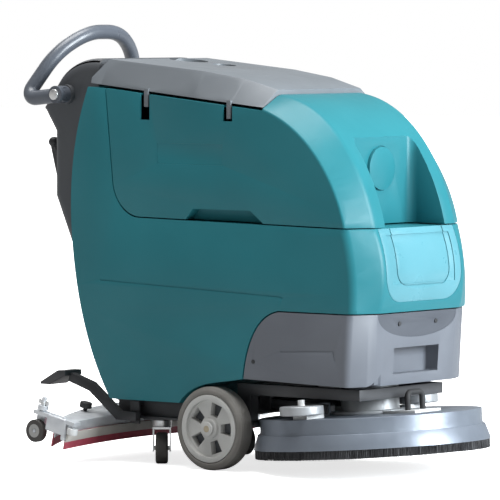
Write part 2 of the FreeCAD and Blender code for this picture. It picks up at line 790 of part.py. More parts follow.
def squeegeeFrame():
    rearBand = crescent(rearTipX, rearMiddleX, 3, 24, strapTopZ)
    frontBand = crescent(frontTipX, frontMiddleX, 3, 24, strapTopZ)
    front = [Vector(frontTipX, -squeegeeHalfWidth, strapTopZ), Vector(frontMiddleX, 0, strapTopZ),
             Vector(frontTipX, squeegeeHalfWidth, strapTopZ)]
    rear = [Vector(rearTipX - 3, -squeegeeHalfWidth, strapTopZ),
            Vector(rearMiddleX - 3, 0, strapTopZ),
            Vector(rearTipX - 3, squeegeeHalfWidth, strapTopZ)]
    edges = [Part.Arc(front[0], front[1], front[2]).toShape(), Part.makeLine(front[2], rear[2])]
    edges.append(Part.Arc(rear[2], rear[1], rear[0]).toShape())
    edges.append(Part.makeLine(rear[0], front[0]))
    roof = Part.Face(Part.Wire(edges)).extrude(Vector(0, 0, 6))
    post = rod(8, Vector(swingX, 0, strapTopZ), Vector(swingX, 0, 100))
    collar = rod(26, Vector(swingX, 0, strapTopZ), Vector(swingX, 0, 83))
    head = rod(14, Vector(swingX, 0, 93), Vector(swingX, 0, 100))
    frame = join([rearBand, frontBand, roof, post, collar, head])
    return frame


def squeegeeSpout():
    return ring(20, 16, Vector(-452, 0, 68), Vector(-452, 0, 100))


def frontBlade():
    return crescent(frontTipX + 4, frontMiddleX + 4, 3.5, 4, 44)


def rearBlade():
    return crescent(rearTipX - 3.5, rearMiddleX - 3.5, 3.5, 0.6, 46)


supportX = -402.0
supportRadius = 27.5
bumperX = -296.0
bumperRadius = 13.0
clampX = -396.0
clampY = 215.0


def endBracket(side):
    low, high = sorted((side * (squeegeeHalfWidth - 12), side * (squeegeeHalfWidth + 12)))
    arm = block(-416, bumperX + 10, low, high, strapTopZ + 6.5, strapTopZ + 16)
    stud = rod(6, Vector(-398, side * squeegeeHalfWidth, strapTopZ + 10),
               Vector(-398, side * squeegeeHalfWidth, strapTopZ + 50))
    nut = rod(13, Vector(-398, side * squeegeeHalfWidth, strapTopZ + 20),
              Vector(-398, side * squeegeeHalfWidth, strapTopZ + 30))
    low, high = sorted((side * (squeegeeHalfWidth - 12), side * (squeegeeHalfWidth - 4)))
    cheek = block(-416, -390, low, high, 20, strapTopZ + 10)
    axle = rod(4, Vector(supportX, side * (squeegeeHalfWidth - 8), 28),
               Vector(supportX, side * (squeegeeHalfWidth + 15), 28))
    pinY = side * (squeegeeHalfWidth + 2)
    pin = rod(4, Vector(bumperX, pinY, 45), Vector(bumperX, pinY, strapTopZ + 8))
    return join([arm, stud, nut, cheek, axle, pin])


def supportWheel(side):
    start = Vector(supportX, side * (squeegeeHalfWidth - 3), 28)
    end = Vector(supportX, side * (squeegeeHalfWidth + 15), 28)
    return ring(supportRadius, 4 + runningFit, start, end)


def bumperRoller(side):
    y = side * (squeegeeHalfWidth + 2)
    return ring(bumperRadius, 4 + runningFit, Vector(bumperX, y, 46), Vector(bumperX, y, 62))


def clampKnob(side):
    y = side * clampY
    stem = rod(5, Vector(clampX, y, strapTopZ + 6.3), Vector(clampX, y, strapTopZ + 14))
    return stem.fuse(rod(15, Vector(clampX, y, strapTopZ + 14), Vector(clampX, y, strapTopZ + 28)))


def suctionHose():
    points = [Vector(-450.5, 0, 171), Vector(-453, 0, 280), Vector(-460, 0, 400),
              Vector(hoseTopX, 0, 519)]
    return roundedTube(points, [1500, 1500], hoseRadius)


def squeegeeLever():
    bar = slab(leverY - 3, leverY + 3, [
        [(-541, 653), (-556, 656)], [(-556, 656), (-584, 760)],
        [(-584, 760), (-570, 764)], [(-570, 764), (-541, 653)],
    ])
    knob = Part.makeSphere(13, Vector(-576.2, leverY, 770))
    pin = rod(6, Vector(leverPivotX, leverY - 3, leverPivotZ), Vector(leverPivotX, leverY + 22, leverPivotZ))
    return join([bar, knob, pin])


def batteryPack():
    blocks = []
    for x in (-241, -70):
        case = block(x, x + 167, -155, 155, wellFloorZ, wellFloorZ + 211)
        posts = []
        for y in (-120, 120):
            posts.append(rod(9, Vector(x + 83, y, wellFloorZ + 211), Vector(x + 83, y, wellFloorZ + 225)))
        blocks.append(case.fuse(posts))
    return group(blocks)


vacuumX = 240.0


def atVacuum(height):
    return Vector(vacuumX, 0, vacuumFloorZ + height)


def vacuumHousing():
    drum = ring(74, 68, atVacuum(0), atVacuum(75))
    floor = rod(74, atVacuum(0), atVacuum(6))
    motor = rod(48, atVacuum(70), atVacuum(160))
    roof = rod(74, atVacuum(68), atVacuum(75))
    outlet = rod(14, atVacuum(36), atVacuum(36).add(Vector(0, 90, 0)))
    return join([drum, floor, motor, roof]).cut([rod(6, atVacuum(10), atVacuum(120)), outlet])


def vacuumFan():
    fan = rod(62, atVacuum(20), atVacuum(52))
    return fan.fuse(rod(5.9, atVacuum(15), atVacuum(115)))


def controllerBox():
    return block(-515, -450, -90, 90, 660, 800)


def floatCage():
    tube = ring(37, 33, Vector(-200, 0, 720), Vector(-200, 0, 860))
    for angle in (0, 60, 120):
        slot = block(-245, -155, -8, 8, 730, 840)
        slot.rotate(Vector(-200, 0, 0), up, angle)
        tube = tube.cut(slot)
    floor = rod(37, Vector(-200, 0, 716), Vector(-200, 0, 720))
    hanger = block(-205, -195, -tankMouthHalfWidth - 8, -34, 850, 860)
    return join([tube, floor, hanger, mirrored(hanger)])


def floatBall():
    return Part.makeSphere(28, Vector(-200, 0, 750))


hingePlaces = (-120, 180)
hingeY = bodyHalfWidth + 7
hingeZ = splitZ + 4
hingePinRadius = 3.0


def tankHinges():
    knuckles = []
    for x in hingePlaces:
        plate = block(x - 30, x + 30, bodyHalfWidth, bodyHalfWidth + 4, hingeZ + 8, hingeZ + 42)
        barrel = rod(6, Vector(x - 30, hingeY, hingeZ), Vector(x + 30, hingeY, hingeZ))
        web = block(x - 30, x + 30, bodyHalfWidth + 1, hingeY, hingeZ, hingeZ + 10)
        bore = rod(hingePinRadius + runningFit, Vector(x - 31, hingeY, hingeZ), Vector(x + 31, hingeY, hingeZ))
        knuckles.append(join([plate, barrel, web]).cut(bore))
    return group(knuckles + lidHingePins())


def lidHingePins():
    pins = []
    spans = lidEarSpans()
    for first, second in (spans[:2], spans[2:]):
        pieces = [rod(lidPinRadius, first[0], second[1])]
        for start, end in (first, second):
            pieces.append(block(start.x, end.x, 223, bodyHalfWidth + 4, start.z - 2.6, start.z + 3))
            pieces.append(block(start.x, end.x, bodyHalfWidth, bodyHalfWidth + 4, start.z - 30, start.z))
        pins.append(join(pieces))
    return pins


def hingeLeaves():
    leaves = []
    for x in hingePlaces:
        pieces = [rod(hingePinRadius, Vector(x - 43, hingeY, hingeZ), Vector(x + 43, hingeY, hingeZ))]
        for end in (-1, 1):
            low, high = sorted((x + end * 31, x + end * 43))
            pieces.append(block(low, high, bodyHalfWidth, bodyHalfWidth + 5, hingeZ - 44, hingeZ - 10))
            pieces.append(rod(6, Vector(low, hingeY, hingeZ), Vector(high, hingeY, hingeZ)))
            pieces.append(block(low, high, bodyHalfWidth + 1, hingeY, hingeZ - 14, hingeZ))
        leaves.append(join(pieces))
    return group(leaves)


def save(name, shape):
    copy = shape.Solids[0] if len(shape.Solids) == 1 else Part.makeCompound(shape.Solids)
    copy = copy.copy()
    copy.translate(Vector(axleX, 0, 0))
    box = copy.BoundBox
    state = "valid" if copy.isValid() else "BROKEN"
    print(f"{name:20s} {state} solids {len(copy.Solids):2d} volume {copy.Volume / 1000:9.1f} "
          f"X {box.XMin:7.1f} {box.XMax:7.1f} Y {box.YMin:7.1f} {box.YMax:7.1f} "
          f"Z {box.ZMin:7.1f} {box.ZMax:7.1f}")
    copy.exportStep(f"parts/{name}.step")
    return box


def main():
    os.makedirs("parts", exist_ok=True)
    rightFork, rightCaster = caster(-1, rightCasterHeading)
    leftFork, leftCaster = caster(1, leftCasterHeading)
    nodes = {
        "base_frame": frameRails(),
        "lower_tank": lowerTank(),
        "front_cover": frontCover(),
        "cover_screws": coverScrews(),
        "console_housing": consoleHousing(),
        "console_panel": consolePanel(),
        "handle_hoop": handleHoop(),
        "handle_bolts": handleBolts(),
        "key_switch": keySwitch(),
        "water_knob": waterKnob(),
        "brush_switch": rocker(brushSwitchY),
        "vacuum_switch": rocker(vacuumSwitchY),
        "battery_pack": batteryPack(),
        "controller_box": controllerBox(),
        "vacuum_housing": vacuumHousing(),
        "vacuum_fan": vacuumFan(),
        "main_axle": mainAxle(),
        "axle_caps": axleCaps(),
        "right_caster_fork": rightFork,
        "right_caster_wheel": rightCaster,
        "left_caster_fork": leftFork,
        "left_caster_wheel": leftCaster,
        "recovery_tank": recoveryTank(),
        "tank_hinges": tankHinges(),
        "hinge_leaves": hingeLeaves(),
        "float_cage": floatCage(),
        "float_ball": floatBall(),
        "tank_lid": tankLid(),
        "lid_gasket": lidGasket(),
        "deck_arms": deckArms(),
        "deck_pedal": deckPedal(),
        "brush_deck": raisedDeck(brushDeck()),
        "deck_skirt": raisedDeck(deckSkirt()),
        "brush_motor": raisedDeck(brushMotor()),
        "brush_hub": raisedDeck(brushHub()),
        "brush_block": raisedDeck(brushBlock()),
        "brush_bristles": raisedDeck(brushBristles()),
        "deck_brackets": raisedDeck(deckBrackets()),
        "deck_bumper": raisedDeck(deckBumper()),
        "squeegee_arm": raisedSqueegee(squeegeeArm()),
        "squeegee_frame": raisedSqueegee(squeegeeFrame()),
        "squeegee_spout": raisedSqueegee(squeegeeSpout()),
        "front_blade": raisedSqueegee(frontBlade()),
        "rear_blade": raisedSqueegee(rearBlade()),
        "suction_hose": suctionHose(),
        "squeegee_lever": squeegeeLever(),
    }
    for side, word in ((-1, "right"), (1, "left")):
        nodes[f"{word}_wheel_disc"] = wheelDisc(side)
        nodes[f"{word}_wheel_tyre"] = wheelTyre(side)
        nodes[f"{word}_guide_roller"] = raisedDeck(guideRoller(side))
        nodes[f"{word}_end_bracket"] = raisedSqueegee(endBracket(side))
        nodes[f"{word}_support_wheel"] = raisedSqueegee(supportWheel(side))
        nodes[f"{word}_bumper_roller"] = raisedSqueegee(bumperRoller(side))
        nodes[f"{word}_clamp_knob"] = raisedSqueegee(clampKnob(side))
    boxes = [save(name, shape) for name, shape in nodes.items()]
    print("nodes", len(nodes))
    print("X", min(box.XMin for box in boxes), max(box.XMax for box in boxes))
    print("Y", min(box.YMin for box in boxes), max(box.YMax for box in boxes))
    print("Z", min(box.ZMin for box in boxes), max(box.ZMax for box in boxes))


main()
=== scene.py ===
# Walk-behind floor scrubber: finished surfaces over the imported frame
import json
import math
import bmesh
import bpy
from mathutils import Matrix, Vector

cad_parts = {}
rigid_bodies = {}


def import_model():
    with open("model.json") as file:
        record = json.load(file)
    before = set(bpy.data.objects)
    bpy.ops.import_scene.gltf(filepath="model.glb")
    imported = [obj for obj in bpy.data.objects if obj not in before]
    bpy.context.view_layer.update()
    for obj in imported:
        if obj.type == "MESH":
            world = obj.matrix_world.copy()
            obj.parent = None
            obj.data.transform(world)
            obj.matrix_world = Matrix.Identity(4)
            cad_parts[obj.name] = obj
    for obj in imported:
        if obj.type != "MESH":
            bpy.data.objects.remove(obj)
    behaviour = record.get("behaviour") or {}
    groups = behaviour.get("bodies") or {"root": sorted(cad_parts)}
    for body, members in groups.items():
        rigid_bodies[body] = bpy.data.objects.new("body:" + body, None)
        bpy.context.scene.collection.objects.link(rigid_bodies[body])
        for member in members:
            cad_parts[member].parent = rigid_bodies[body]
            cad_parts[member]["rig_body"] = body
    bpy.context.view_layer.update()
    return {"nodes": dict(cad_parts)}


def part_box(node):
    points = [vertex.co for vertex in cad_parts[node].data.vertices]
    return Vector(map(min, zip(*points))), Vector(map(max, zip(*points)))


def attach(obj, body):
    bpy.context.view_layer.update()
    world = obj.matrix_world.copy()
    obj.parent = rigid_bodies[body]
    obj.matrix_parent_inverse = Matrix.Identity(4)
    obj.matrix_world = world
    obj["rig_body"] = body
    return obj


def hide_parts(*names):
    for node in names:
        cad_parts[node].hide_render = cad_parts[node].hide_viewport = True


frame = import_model()
nodes = frame["nodes"]
bpy.ops.object.select_all(action="DESELECT")
axleX = (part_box("main_axle")[0].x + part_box("main_axle")[1].x) / 2
print("frame loaded:", len(nodes), "nodes")


def at(x, y, z):
    # millimetres from the main axle, as the part is drawn, to metres in the frame
    return Vector((axleX + x / 1000, y / 1000, z / 1000))


# camera, floor and light

cameraSettings = {
    "place": (7258.6, -9489.2, 1113.3),
    "turn": (87.1403, -0.0882, 37.6546),
    "lens": 356.8,
}


def placeCamera(settings):
    bpy.ops.object.camera_add(location=at(*settings["place"]))
    camera = bpy.context.object
    camera.name = "studio_camera"
    camera.rotation_euler = [math.radians(a) for a in settings["turn"]]
    camera.data.lens = settings["lens"]
    camera.data.sensor_width = 36
    camera.data.clip_end = 100
    bpy.context.scene.camera = camera


placeCamera(cameraSettings)

studio = {
    "floorSize": 60.0,
    "floorColour": (0.90, 0.90, 0.90),
    "floorBounce": (0.42, 0.42, 0.42),
    "floorGlow": 0.75,
    "roomColour": (1.0, 1.0, 1.0),
    "roomStrength": 0.30,
    "backdropStrength": 1.0,
    "overhead": {"strength": 4.1, "spread": 45},
    "key": {"place": (5.4, 0.9, 2.2), "size": 2.8, "power": 700, "colour": (0.88, 0.95, 1.0)},
    "rear": {"place": (-4.5, 2.5, 3.5), "size": 2.5, "power": 60, "colour": (1, 1, 1)},
}


def softLight(name, settings):
    bpy.ops.object.light_add(type="AREA", location=settings["place"])
    lamp = bpy.context.object
    lamp.name = name
    lamp.data.size = settings["size"]
    lamp.data.energy = settings["power"]
    lamp.data.color = settings["colour"]
    aim = Vector((0, 0, 0.5)) - Vector(settings["place"])
    lamp.rotation_euler = aim.to_track_quat("-Z", "Y").to_euler()


def floorPaint():
    # seen white, but throwing back less light than it shows
    material, shader = newMaterial("studio_floor", 0.9, 0.0, 0.0)
    shader.inputs["Base Color"].default_value = (*studio["floorColour"], 1)
    shader.inputs["Emission Color"].default_value = (1, 1, 1, 1)
    shader.inputs["Emission Strength"].default_value = studio["floorGlow"]
    tree = material.node_tree
    bounce = tree.nodes.new("ShaderNodeBsdfDiffuse")
    bounce.inputs["Color"].default_value = (*studio["floorBounce"], 1)
    whichRay = tree.nodes.new("ShaderNodeLightPath")
    mix = tree.nodes.new("ShaderNodeMixShader")
    tree.links.new(whichRay.outputs["Is Camera Ray"], mix.inputs[0])
    tree.links.new(bounce.outputs["BSDF"], mix.inputs[1])
    tree.links.new(shader.outputs["BSDF"], mix.inputs[2])
    tree.links.new(mix.outputs["Shader"], tree.nodes["Material Output"].inputs["Surface"])
    return material


def layFloor():
    bpy.ops.mesh.primitive_plane_add(size=studio["floorSize"])
    floor = bpy.context.object
    floor.name = "studio_floor"
    floor.data.materials.append(floorPaint())


def lightRoom():
    scene = bpy.context.scene
    scene.view_settings.view_transform = "Standard"
    world = bpy.data.worlds.new("studio_room")
    scene.world = world
    world.use_nodes = True
    sky = world.node_tree.nodes["Background"]
    sky.inputs["Color"].default_value = (*studio["roomColour"], 1)
    sky.inputs["Strength"].default_value = studio["roomStrength"]
    backdrop = world.node_tree.nodes.new("ShaderNodeBackground")
    backdrop.inputs["Color"].default_value = (*studio["roomColour"], 1)
    backdrop.inputs["Strength"].default_value = studio["backdropStrength"]
    whichRay = world.node_tree.nodes.new("ShaderNodeLightPath")
    mix = world.node_tree.nodes.new("ShaderNodeMixShader")
    links = world.node_tree.links
    links.new(whichRay.outputs["Is Camera Ray"], mix.inputs[0])
    links.new(sky.outputs["Background"], mix.inputs[1])
    links.new(backdrop.outputs["Background"], mix.inputs[2])
    links.new(mix.outputs["Shader"], world.node_tree.nodes["World Output"].inputs["Surface"])
    for name in ("key", "rear"):
        softLight("studio_" + name, studio[name])
    bpy.ops.object.light_add(type="SUN", location=(0, 0, 6))
    overhead = bpy.context.object
    overhead.name = "studio_overhead"
    overhead.data.energy = studio["overhead"]["strength"]
    overhead.data.angle = math.radians(studio["overhead"]["spread"])


# shader building blocks

def newMaterial(name, roughness, metallic=0.0, gloss=0.5):
    material = bpy.data.materials.new(name)
    material.use_nodes = True
    shader = material.node_tree.nodes["Principled BSDF"]
    shader.inputs["Roughness"].default_value = roughness
    shader.inputs["Metallic"].default_value = metallic
    shader.inputs["Specular IOR Level"].default_value = gloss
    return material, shader


def noiseAt(material, scale, detail=3.0, stretch=(1, 1, 1)):
    tree = material.node_tree
    place = tree.nodes.new("ShaderNodeTexCoord")
    mapping = tree.nodes.new("ShaderNodeMapping")
    mapping.inputs["Scale"].default_value = stretch
    noise = tree.nodes.new("ShaderNodeTexNoise")
    noise.inputs["Scale"].default_value = scale
    noise.inputs["Detail"].default_value = detail
    tree.links.new(place.outputs["Object"], mapping.inputs["Vector"])
    tree.links.new(mapping.outputs["Vector"], noise.inputs["Vector"])
    return noise


def colourRamp(material, factor, stops):
    tree = material.node_tree
    ramp = tree.nodes.new("ShaderNodeValToRGB")
    while len(ramp.color_ramp.elements) < len(stops):
        ramp.color_ramp.elements.new(0.5)
    for element, (position, colour) in zip(ramp.color_ramp.elements, stops):
        element.position = position
        element.color = (*colour, 1) if len(colour) == 3 else colour
    tree.links.new(factor, ramp.inputs["Fac"])
    return ramp


def mottle(material, shader, dark, light, scale, low=0.35, high=0.65):
    # slow colour change over the surface
    noise = noiseAt(material, scale)
    ramp = colourRamp(material, noise.outputs["Fac"], [(low, dark), (high, light)])
    material.node_tree.links.new(ramp.outputs["Color"], shader.inputs["Base Color"])
    return ramp


def roughPatches(material, shader, scale, smooth, rough):
    noise = noiseAt(material, scale, 4.0)
    spread = material.node_tree.nodes.new("ShaderNodeMapRange")
    spread.inputs["From Min"].default_value = 0.3
    spread.inputs["From Max"].default_value = 0.7
    spread.inputs["To Min"].default_value = smooth
    spread.inputs["To Max"].default_value = rough
    material.node_tree.links.new(noise.outputs["Fac"], spread.inputs["Value"])
    material.node_tree.links.new(spread.outputs["Result"], shader.inputs["Roughness"])


def bumpFrom(material, shader, height, strength, depth):
    tree = material.node_tree
    bump = tree.nodes.new("ShaderNodeBump")
    bump.inputs["Strength"].default_value = strength
    bump.inputs["Distance"].default_value = depth
    tree.links.new(height, bump.inputs["Height"])
    before = shader.inputs["Normal"].links
    if before:
        tree.links.new(before[0].from_socket, bump.inputs["Normal"])
    tree.links.new(bump.outputs["Normal"], shader.inputs["Normal"])


def grain(material, shader, scale, strength, depth=0.0004, detail=2.0, stretch=(1, 1, 1)):
    noise = noiseAt(material, scale, detail, stretch)
    bumpFrom(material, shader, noise.outputs["Fac"], strength, depth)


def wornEdges(material, shader, worn, amount):
    # paler along the outer edges, where hands and walls rub
    tree = material.node_tree
    geometry = tree.nodes.new("ShaderNodeNewGeometry")
    edge = colourRamp(material, geometry.outputs["Pointiness"],
                      [(0.52, (0, 0, 0)), (0.60, (amount, amount, amount))])
    before = shader.inputs["Base Color"].links[0].from_socket
    mix = tree.nodes.new("ShaderNodeMix")
    mix.data_type = "RGBA"
    mix.inputs["B"].default_value = (*worn, 1)
    tree.links.new(edge.outputs["Color"], mix.inputs["Factor"])
    tree.links.new(before, mix.inputs["A"])
    tree.links.new(mix.outputs["Result"], shader.inputs["Base Color"])


layFloor()
lightRoom()
print("studio ready")


# finishes

def tealPlastic():
    # rotomoulded polyethylene: soft sheen, faint orange peel
    material, shader = newMaterial("teal_plastic", 0.36, 0.0, 0.22)
    mottle(material, shader, (0.018, 0.150, 0.178), (0.023, 0.170, 0.200), 3.0)
    roughPatches(material, shader, 14.0, 0.30, 0.42)
    grain(material, shader, 420.0, 0.10, 0.0003)
    grain(material, shader, 38.0, 0.08, 0.0012, 1.0)
    return material


def lidPlastic():
    material, shader = newMaterial("lid_grey_plastic", 0.4, 0.0, 0.35)
    mottle(material, shader, (0.132, 0.146, 0.160), (0.150, 0.166, 0.182), 4.0)
    roughPatches(material, shader, 18.0, 0.36, 0.48)
    grain(material, shader, 900.0, 0.18, 0.0002)
    return material


def coverPlastic():
    material, shader = newMaterial("cover_grey_plastic", 0.42, 0.0, 0.3)
    mottle(material, shader, (0.118, 0.128, 0.148), (0.134, 0.145, 0.166), 5.0)
    roughPatches(material, shader, 20.0, 0.38, 0.50)
    grain(material, shader, 800.0, 0.20, 0.0002)
    return material


def consolePlastic():
    material, shader = newMaterial("console_dark_plastic", 0.45, 0.0, 0.35)
    mottle(material, shader, (0.062, 0.066, 0.073), (0.074, 0.079, 0.086), 6.0)
    roughPatches(material, shader, 24.0, 0.40, 0.55)
    grain(material, shader, 1100.0, 0.30, 0.0002)
    return material


def handlePaint():
    material, shader = newMaterial("handle_satin_paint", 0.3)
    mottle(material, shader, (0.085, 0.096, 0.116), (0.098, 0.110, 0.131), 9.0)
    roughPatches(material, shader, 60.0, 0.26, 0.38)
    grain(material, shader, 1400.0, 0.15, 0.0001)
    return material


def blackPlastic():
    material, shader = newMaterial("black_plastic", 0.5)
    mottle(material, shader, (0.016, 0.016, 0.018), (0.024, 0.024, 0.026), 12.0)
    roughPatches(material, shader, 40.0, 0.42, 0.6)
    grain(material, shader, 1300.0, 0.35, 0.0002)
    return material


def blackPaint():
    # powder coat on steel
    material, shader = newMaterial("black_powder_coat", 0.45)
    mottle(material, shader, (0.014, 0.015, 0.017), (0.022, 0.024, 0.027), 10.0)
    roughPatches(material, shader, 30.0, 0.38, 0.55)
    grain(material, shader, 1600.0, 0.4, 0.0002)
    wornEdges(material, shader, (0.09, 0.09, 0.095), 0.5)
    return material


def zincPlate():
    material, shader = newMaterial("zinc_plate", 0.35, 0.9)
    mottle(material, shader, (0.60, 0.61, 0.62), (0.74, 0.74, 0.73), 60.0)
    roughPatches(material, shader, 90.0, 0.26, 0.46)
    grain(material, shader, 500.0, 0.12, 0.0002)
    return material


def castAlloy():
    material, shader = newMaterial("cast_alloy", 0.45, 0.45)
    mottle(material, shader, (0.56, 0.58, 0.61), (0.68, 0.70, 0.72), 30.0)
    roughPatches(material, shader, 60.0, 0.38, 0.56)
    grain(material, shader, 700.0, 0.45, 0.0004)
    return material


def deckPaint():
    # grey hammered enamel over the pressed deck
    material, shader = newMaterial("deck_grey_enamel", 0.35, 0.35)
    mottle(material, shader, (0.15, 0.17, 0.205), (0.175, 0.20, 0.235), 7.0)
    roughPatches(material, shader, 30.0, 0.28, 0.42)
    grain(material, shader, 260.0, 0.12, 0.0004)
    wornEdges(material, shader, (0.34, 0.36, 0.39), 0.4)
    return material


def motorPaint():
    material, shader = newMaterial("motor_silver_paint", 0.42, 0.4)
    mottle(material, shader, (0.30, 0.31, 0.32), (0.36, 0.37, 0.38), 14.0)
    roughPatches(material, shader, 50.0, 0.36, 0.5)
    grain(material, shader, 600.0, 0.2, 0.0003)
    return material


def whitePlastic():
    material, shader = newMaterial("white_plastic", 0.4)
    mottle(material, shader, (0.60, 0.61, 0.61), (0.68, 0.68, 0.67), 20.0)
    roughPatches(material, shader, 40.0, 0.34, 0.5)
    grain(material, shader, 900.0, 0.2, 0.0002)
    return material


def tyreRubber():
    material, shader = newMaterial("tyre_grey_rubber", 0.72)
    mottle(material, shader, (0.150, 0.142, 0.130), (0.185, 0.176, 0.162), 22.0)
    roughPatches(material, shader, 35.0, 0.62, 0.82)
    grain(material, shader, 700.0, 0.5, 0.0004)
    wornEdges(material, shader, (0.26, 0.25, 0.235), 0.4)
    tread = material.node_tree.nodes.new("ShaderNodeTexWave")
    tread.bands_direction = "Y"
    tread.inputs["Scale"].default_value = 55.0
    place = material.node_tree.nodes.new("ShaderNodeTexCoord")
    material.node_tree.links.new(place.outputs["Object"], tread.inputs["Vector"])
    bumpFrom(material, shader, tread.outputs["Fac"], 0.5, 0.0012)
    return material


def paintHub(material, shader, centre, radius, colour):
    # a plastic hub inside the rubber, told apart by distance from the wheel's middle
    tree = material.node_tree
    place = tree.nodes.new("ShaderNodeTexCoord")
    away = tree.nodes.new("ShaderNodeVectorMath")
    away.operation = "DISTANCE"
    away.inputs[1].default_value = centre
    tree.links.new(place.outputs["Object"], away.inputs[0])
    inside = tree.nodes.new("ShaderNodeMath")
    inside.operation = "LESS_THAN"
    inside.inputs[1].default_value = radius
    tree.links.new(away.outputs["Value"], inside.inputs[0])
    mix = tree.nodes.new("ShaderNodeMix")
    mix.data_type = "RGBA"
    mix.inputs["B"].default_value = (*colour, 1)
    tree.links.new(inside.outputs["Value"], mix.inputs["Factor"])
    tree.links.new(shader.inputs["Base Color"].links[0].from_socket, mix.inputs["A"])
    tree.links.new(mix.outputs["Result"], shader.inputs["Base Color"])


smallWheels = {
    "support_wheel": {"hub": 0.0185, "hubColour": (0.33, 0.33, 0.32)},
    "caster_wheel": {"hub": 0.0235, "hubColour": (0.30, 0.29, 0.27)},
}


def smallWheelRubber(name, kind):
    low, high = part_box(name)
    settings = smallWheels[kind]
    material, shader = newMaterial(name + "_rubber", 0.6)
    mottle(material, shader, (0.046, 0.042, 0.039), (0.070, 0.064, 0.059), 30.0)
    roughPatches(material, shader, 60.0, 0.5, 0.7)
    grain(material, shader, 900.0, 0.4, 0.0003)
    paintHub(material, shader, (low + high) / 2, settings["hub"], settings["hubColour"])
    return material


def rimPlastic():
    material, shader = newMaterial("rim_grey_plastic", 0.48)
    mottle(material, shader, (0.44, 0.44, 0.425), (0.50, 0.498, 0.48), 18.0)
    roughPatches(material, shader, 40.0, 0.42, 0.56)
    grain(material, shader, 800.0, 0.25, 0.0003)
    return material


def blackRubber():
    material, shader = newMaterial("black_rubber", 0.65)
    mottle(material, shader, (0.014, 0.014, 0.015), (0.022, 0.022, 0.023), 25.0)
    roughPatches(material, shader, 50.0, 0.55, 0.75)
    grain(material, shader, 900.0, 0.4, 0.0003)
    return material


def redRubber():
    # natural gum blade with a slightly waxy face
    material, shader = newMaterial("red_gum_rubber", 0.42)
    mottle(material, shader, (0.36, 0.050, 0.078), (0.44, 0.066, 0.098), 40.0)
    roughPatches(material, shader, 70.0, 0.34, 0.52)
    grain(material, shader, 600.0, 0.25, 0.0003)
    shader.inputs["Subsurface Weight"].default_value = 0.15
    shader.inputs["Subsurface Radius"].default_value = (0.004, 0.001, 0.001)
    return material


def bristleFibre():
    material, shader = newMaterial("bristle_fibre", 0.5)
    mottle(material, shader, (0.016, 0.016, 0.018), (0.050, 0.050, 0.054), 900.0)
    roughPatches(material, shader, 300.0, 0.4, 0.7)
    grain(material, shader, 500.0, 0.8, 0.001, 2.0, (1, 1, 0.05))
    return material


def hoseVinyl():
    material, shader = newMaterial("hose_grey_vinyl", 0.5)
    mottle(material, shader, (0.055, 0.057, 0.060), (0.075, 0.078, 0.082), 20.0)
    roughPatches(material, shader, 50.0, 0.42, 0.6)
    ribs = material.node_tree.nodes.new("ShaderNodeTexWave")
    ribs.bands_direction = "Z"
    ribs.inputs["Scale"].default_value = 50.0
    place = material.node_tree.nodes.new("ShaderNodeTexCoord")
    material.node_tree.links.new(place.outputs["Object"], ribs.inputs["Vector"])
    bumpFrom(material, shader, ribs.outputs["Fac"], 0.9, 0.002)
    grain(material, shader, 900.0, 0.2, 0.0002)
    return material


def redPlastic():
    material, shader = newMaterial("red_plastic", 0.38)
    mottle(material, shader, (0.42, 0.018, 0.016), (0.50, 0.026, 0.020), 25.0)
    roughPatches(material, shader, 50.0, 0.3, 0.46)
    grain(material, shader, 900.0, 0.15, 0.0002)
    return material


def shieldPaintedSheen():
    # the nose plate: glossier than the tank round it, and a paler teal as painted sheen for the light it
    # catches
    material, shader = newMaterial("shield_pale_teal_painted_sheen", 0.3, 0.0, 0.4)
    mottle(material, shader, (0.072, 0.225, 0.268), (0.088, 0.252, 0.300), 5.0)
    roughPatches(material, shader, 14.0, 0.26, 0.38)
    grain(material, shader, 420.0, 0.08, 0.0003)
    return material


def coverShade():
    # painted shade: a darker grey standing in for the shade in the scoop's hollow
    material, shader = newMaterial("cover_hollow_painted_shade", 0.6, 0.0, 0.15)
    mottle(material, shader, (0.072, 0.078, 0.092), (0.084, 0.091, 0.105), 5.0)
    roughPatches(material, shader, 20.0, 0.54, 0.66)
    grain(material, shader, 800.0, 0.3, 0.0002)
    return material


def strapPlastic():
    material, shader = newMaterial("strap_pale_plastic", 0.45)
    mottle(material, shader, (0.50, 0.47, 0.43), (0.58, 0.55, 0.51), 14.0)
    roughPatches(material, shader, 40.0, 0.4, 0.56)
    grain(material, shader, 800.0, 0.25, 0.0003)
    return material


def bronzeBush():
    material, shader = newMaterial("bronze_bush", 0.4, 0.8)
    mottle(material, shader, (0.36, 0.31, 0.22), (0.44, 0.38, 0.28), 60.0)
    roughPatches(material, shader, 120.0, 0.3, 0.5)
    grain(material, shader, 900.0, 0.2, 0.0002)
    return material


finishes = {
    "teal": tealPlastic(), "lid": lidPlastic(), "cover": coverPlastic(),
    "console": consolePlastic(), "handle": handlePaint(), "blackPlastic": blackPlastic(),
    "blackPaint": blackPaint(), "zinc": zincPlate(), "alloy": castAlloy(),
    "deck": deckPaint(), "motor": motorPaint(), "white": whitePlastic(),
    "tyre": tyreRubber(), "rim": rimPlastic(),
    "rubber": blackRubber(), "blade": redRubber(), "bristle": bristleFibre(),
    "hose": hoseVinyl(), "red": redPlastic(), "strap": strapPlastic(), "bronze": bronzeBush(),
    "shield": shieldPaintedSheen(), "hollow": coverShade(),
}
for wheelName in nodes:
    for kind in smallWheels:
        if kind in wheelName:
            finishes[wheelName] = smallWheelRubber(wheelName, kind)

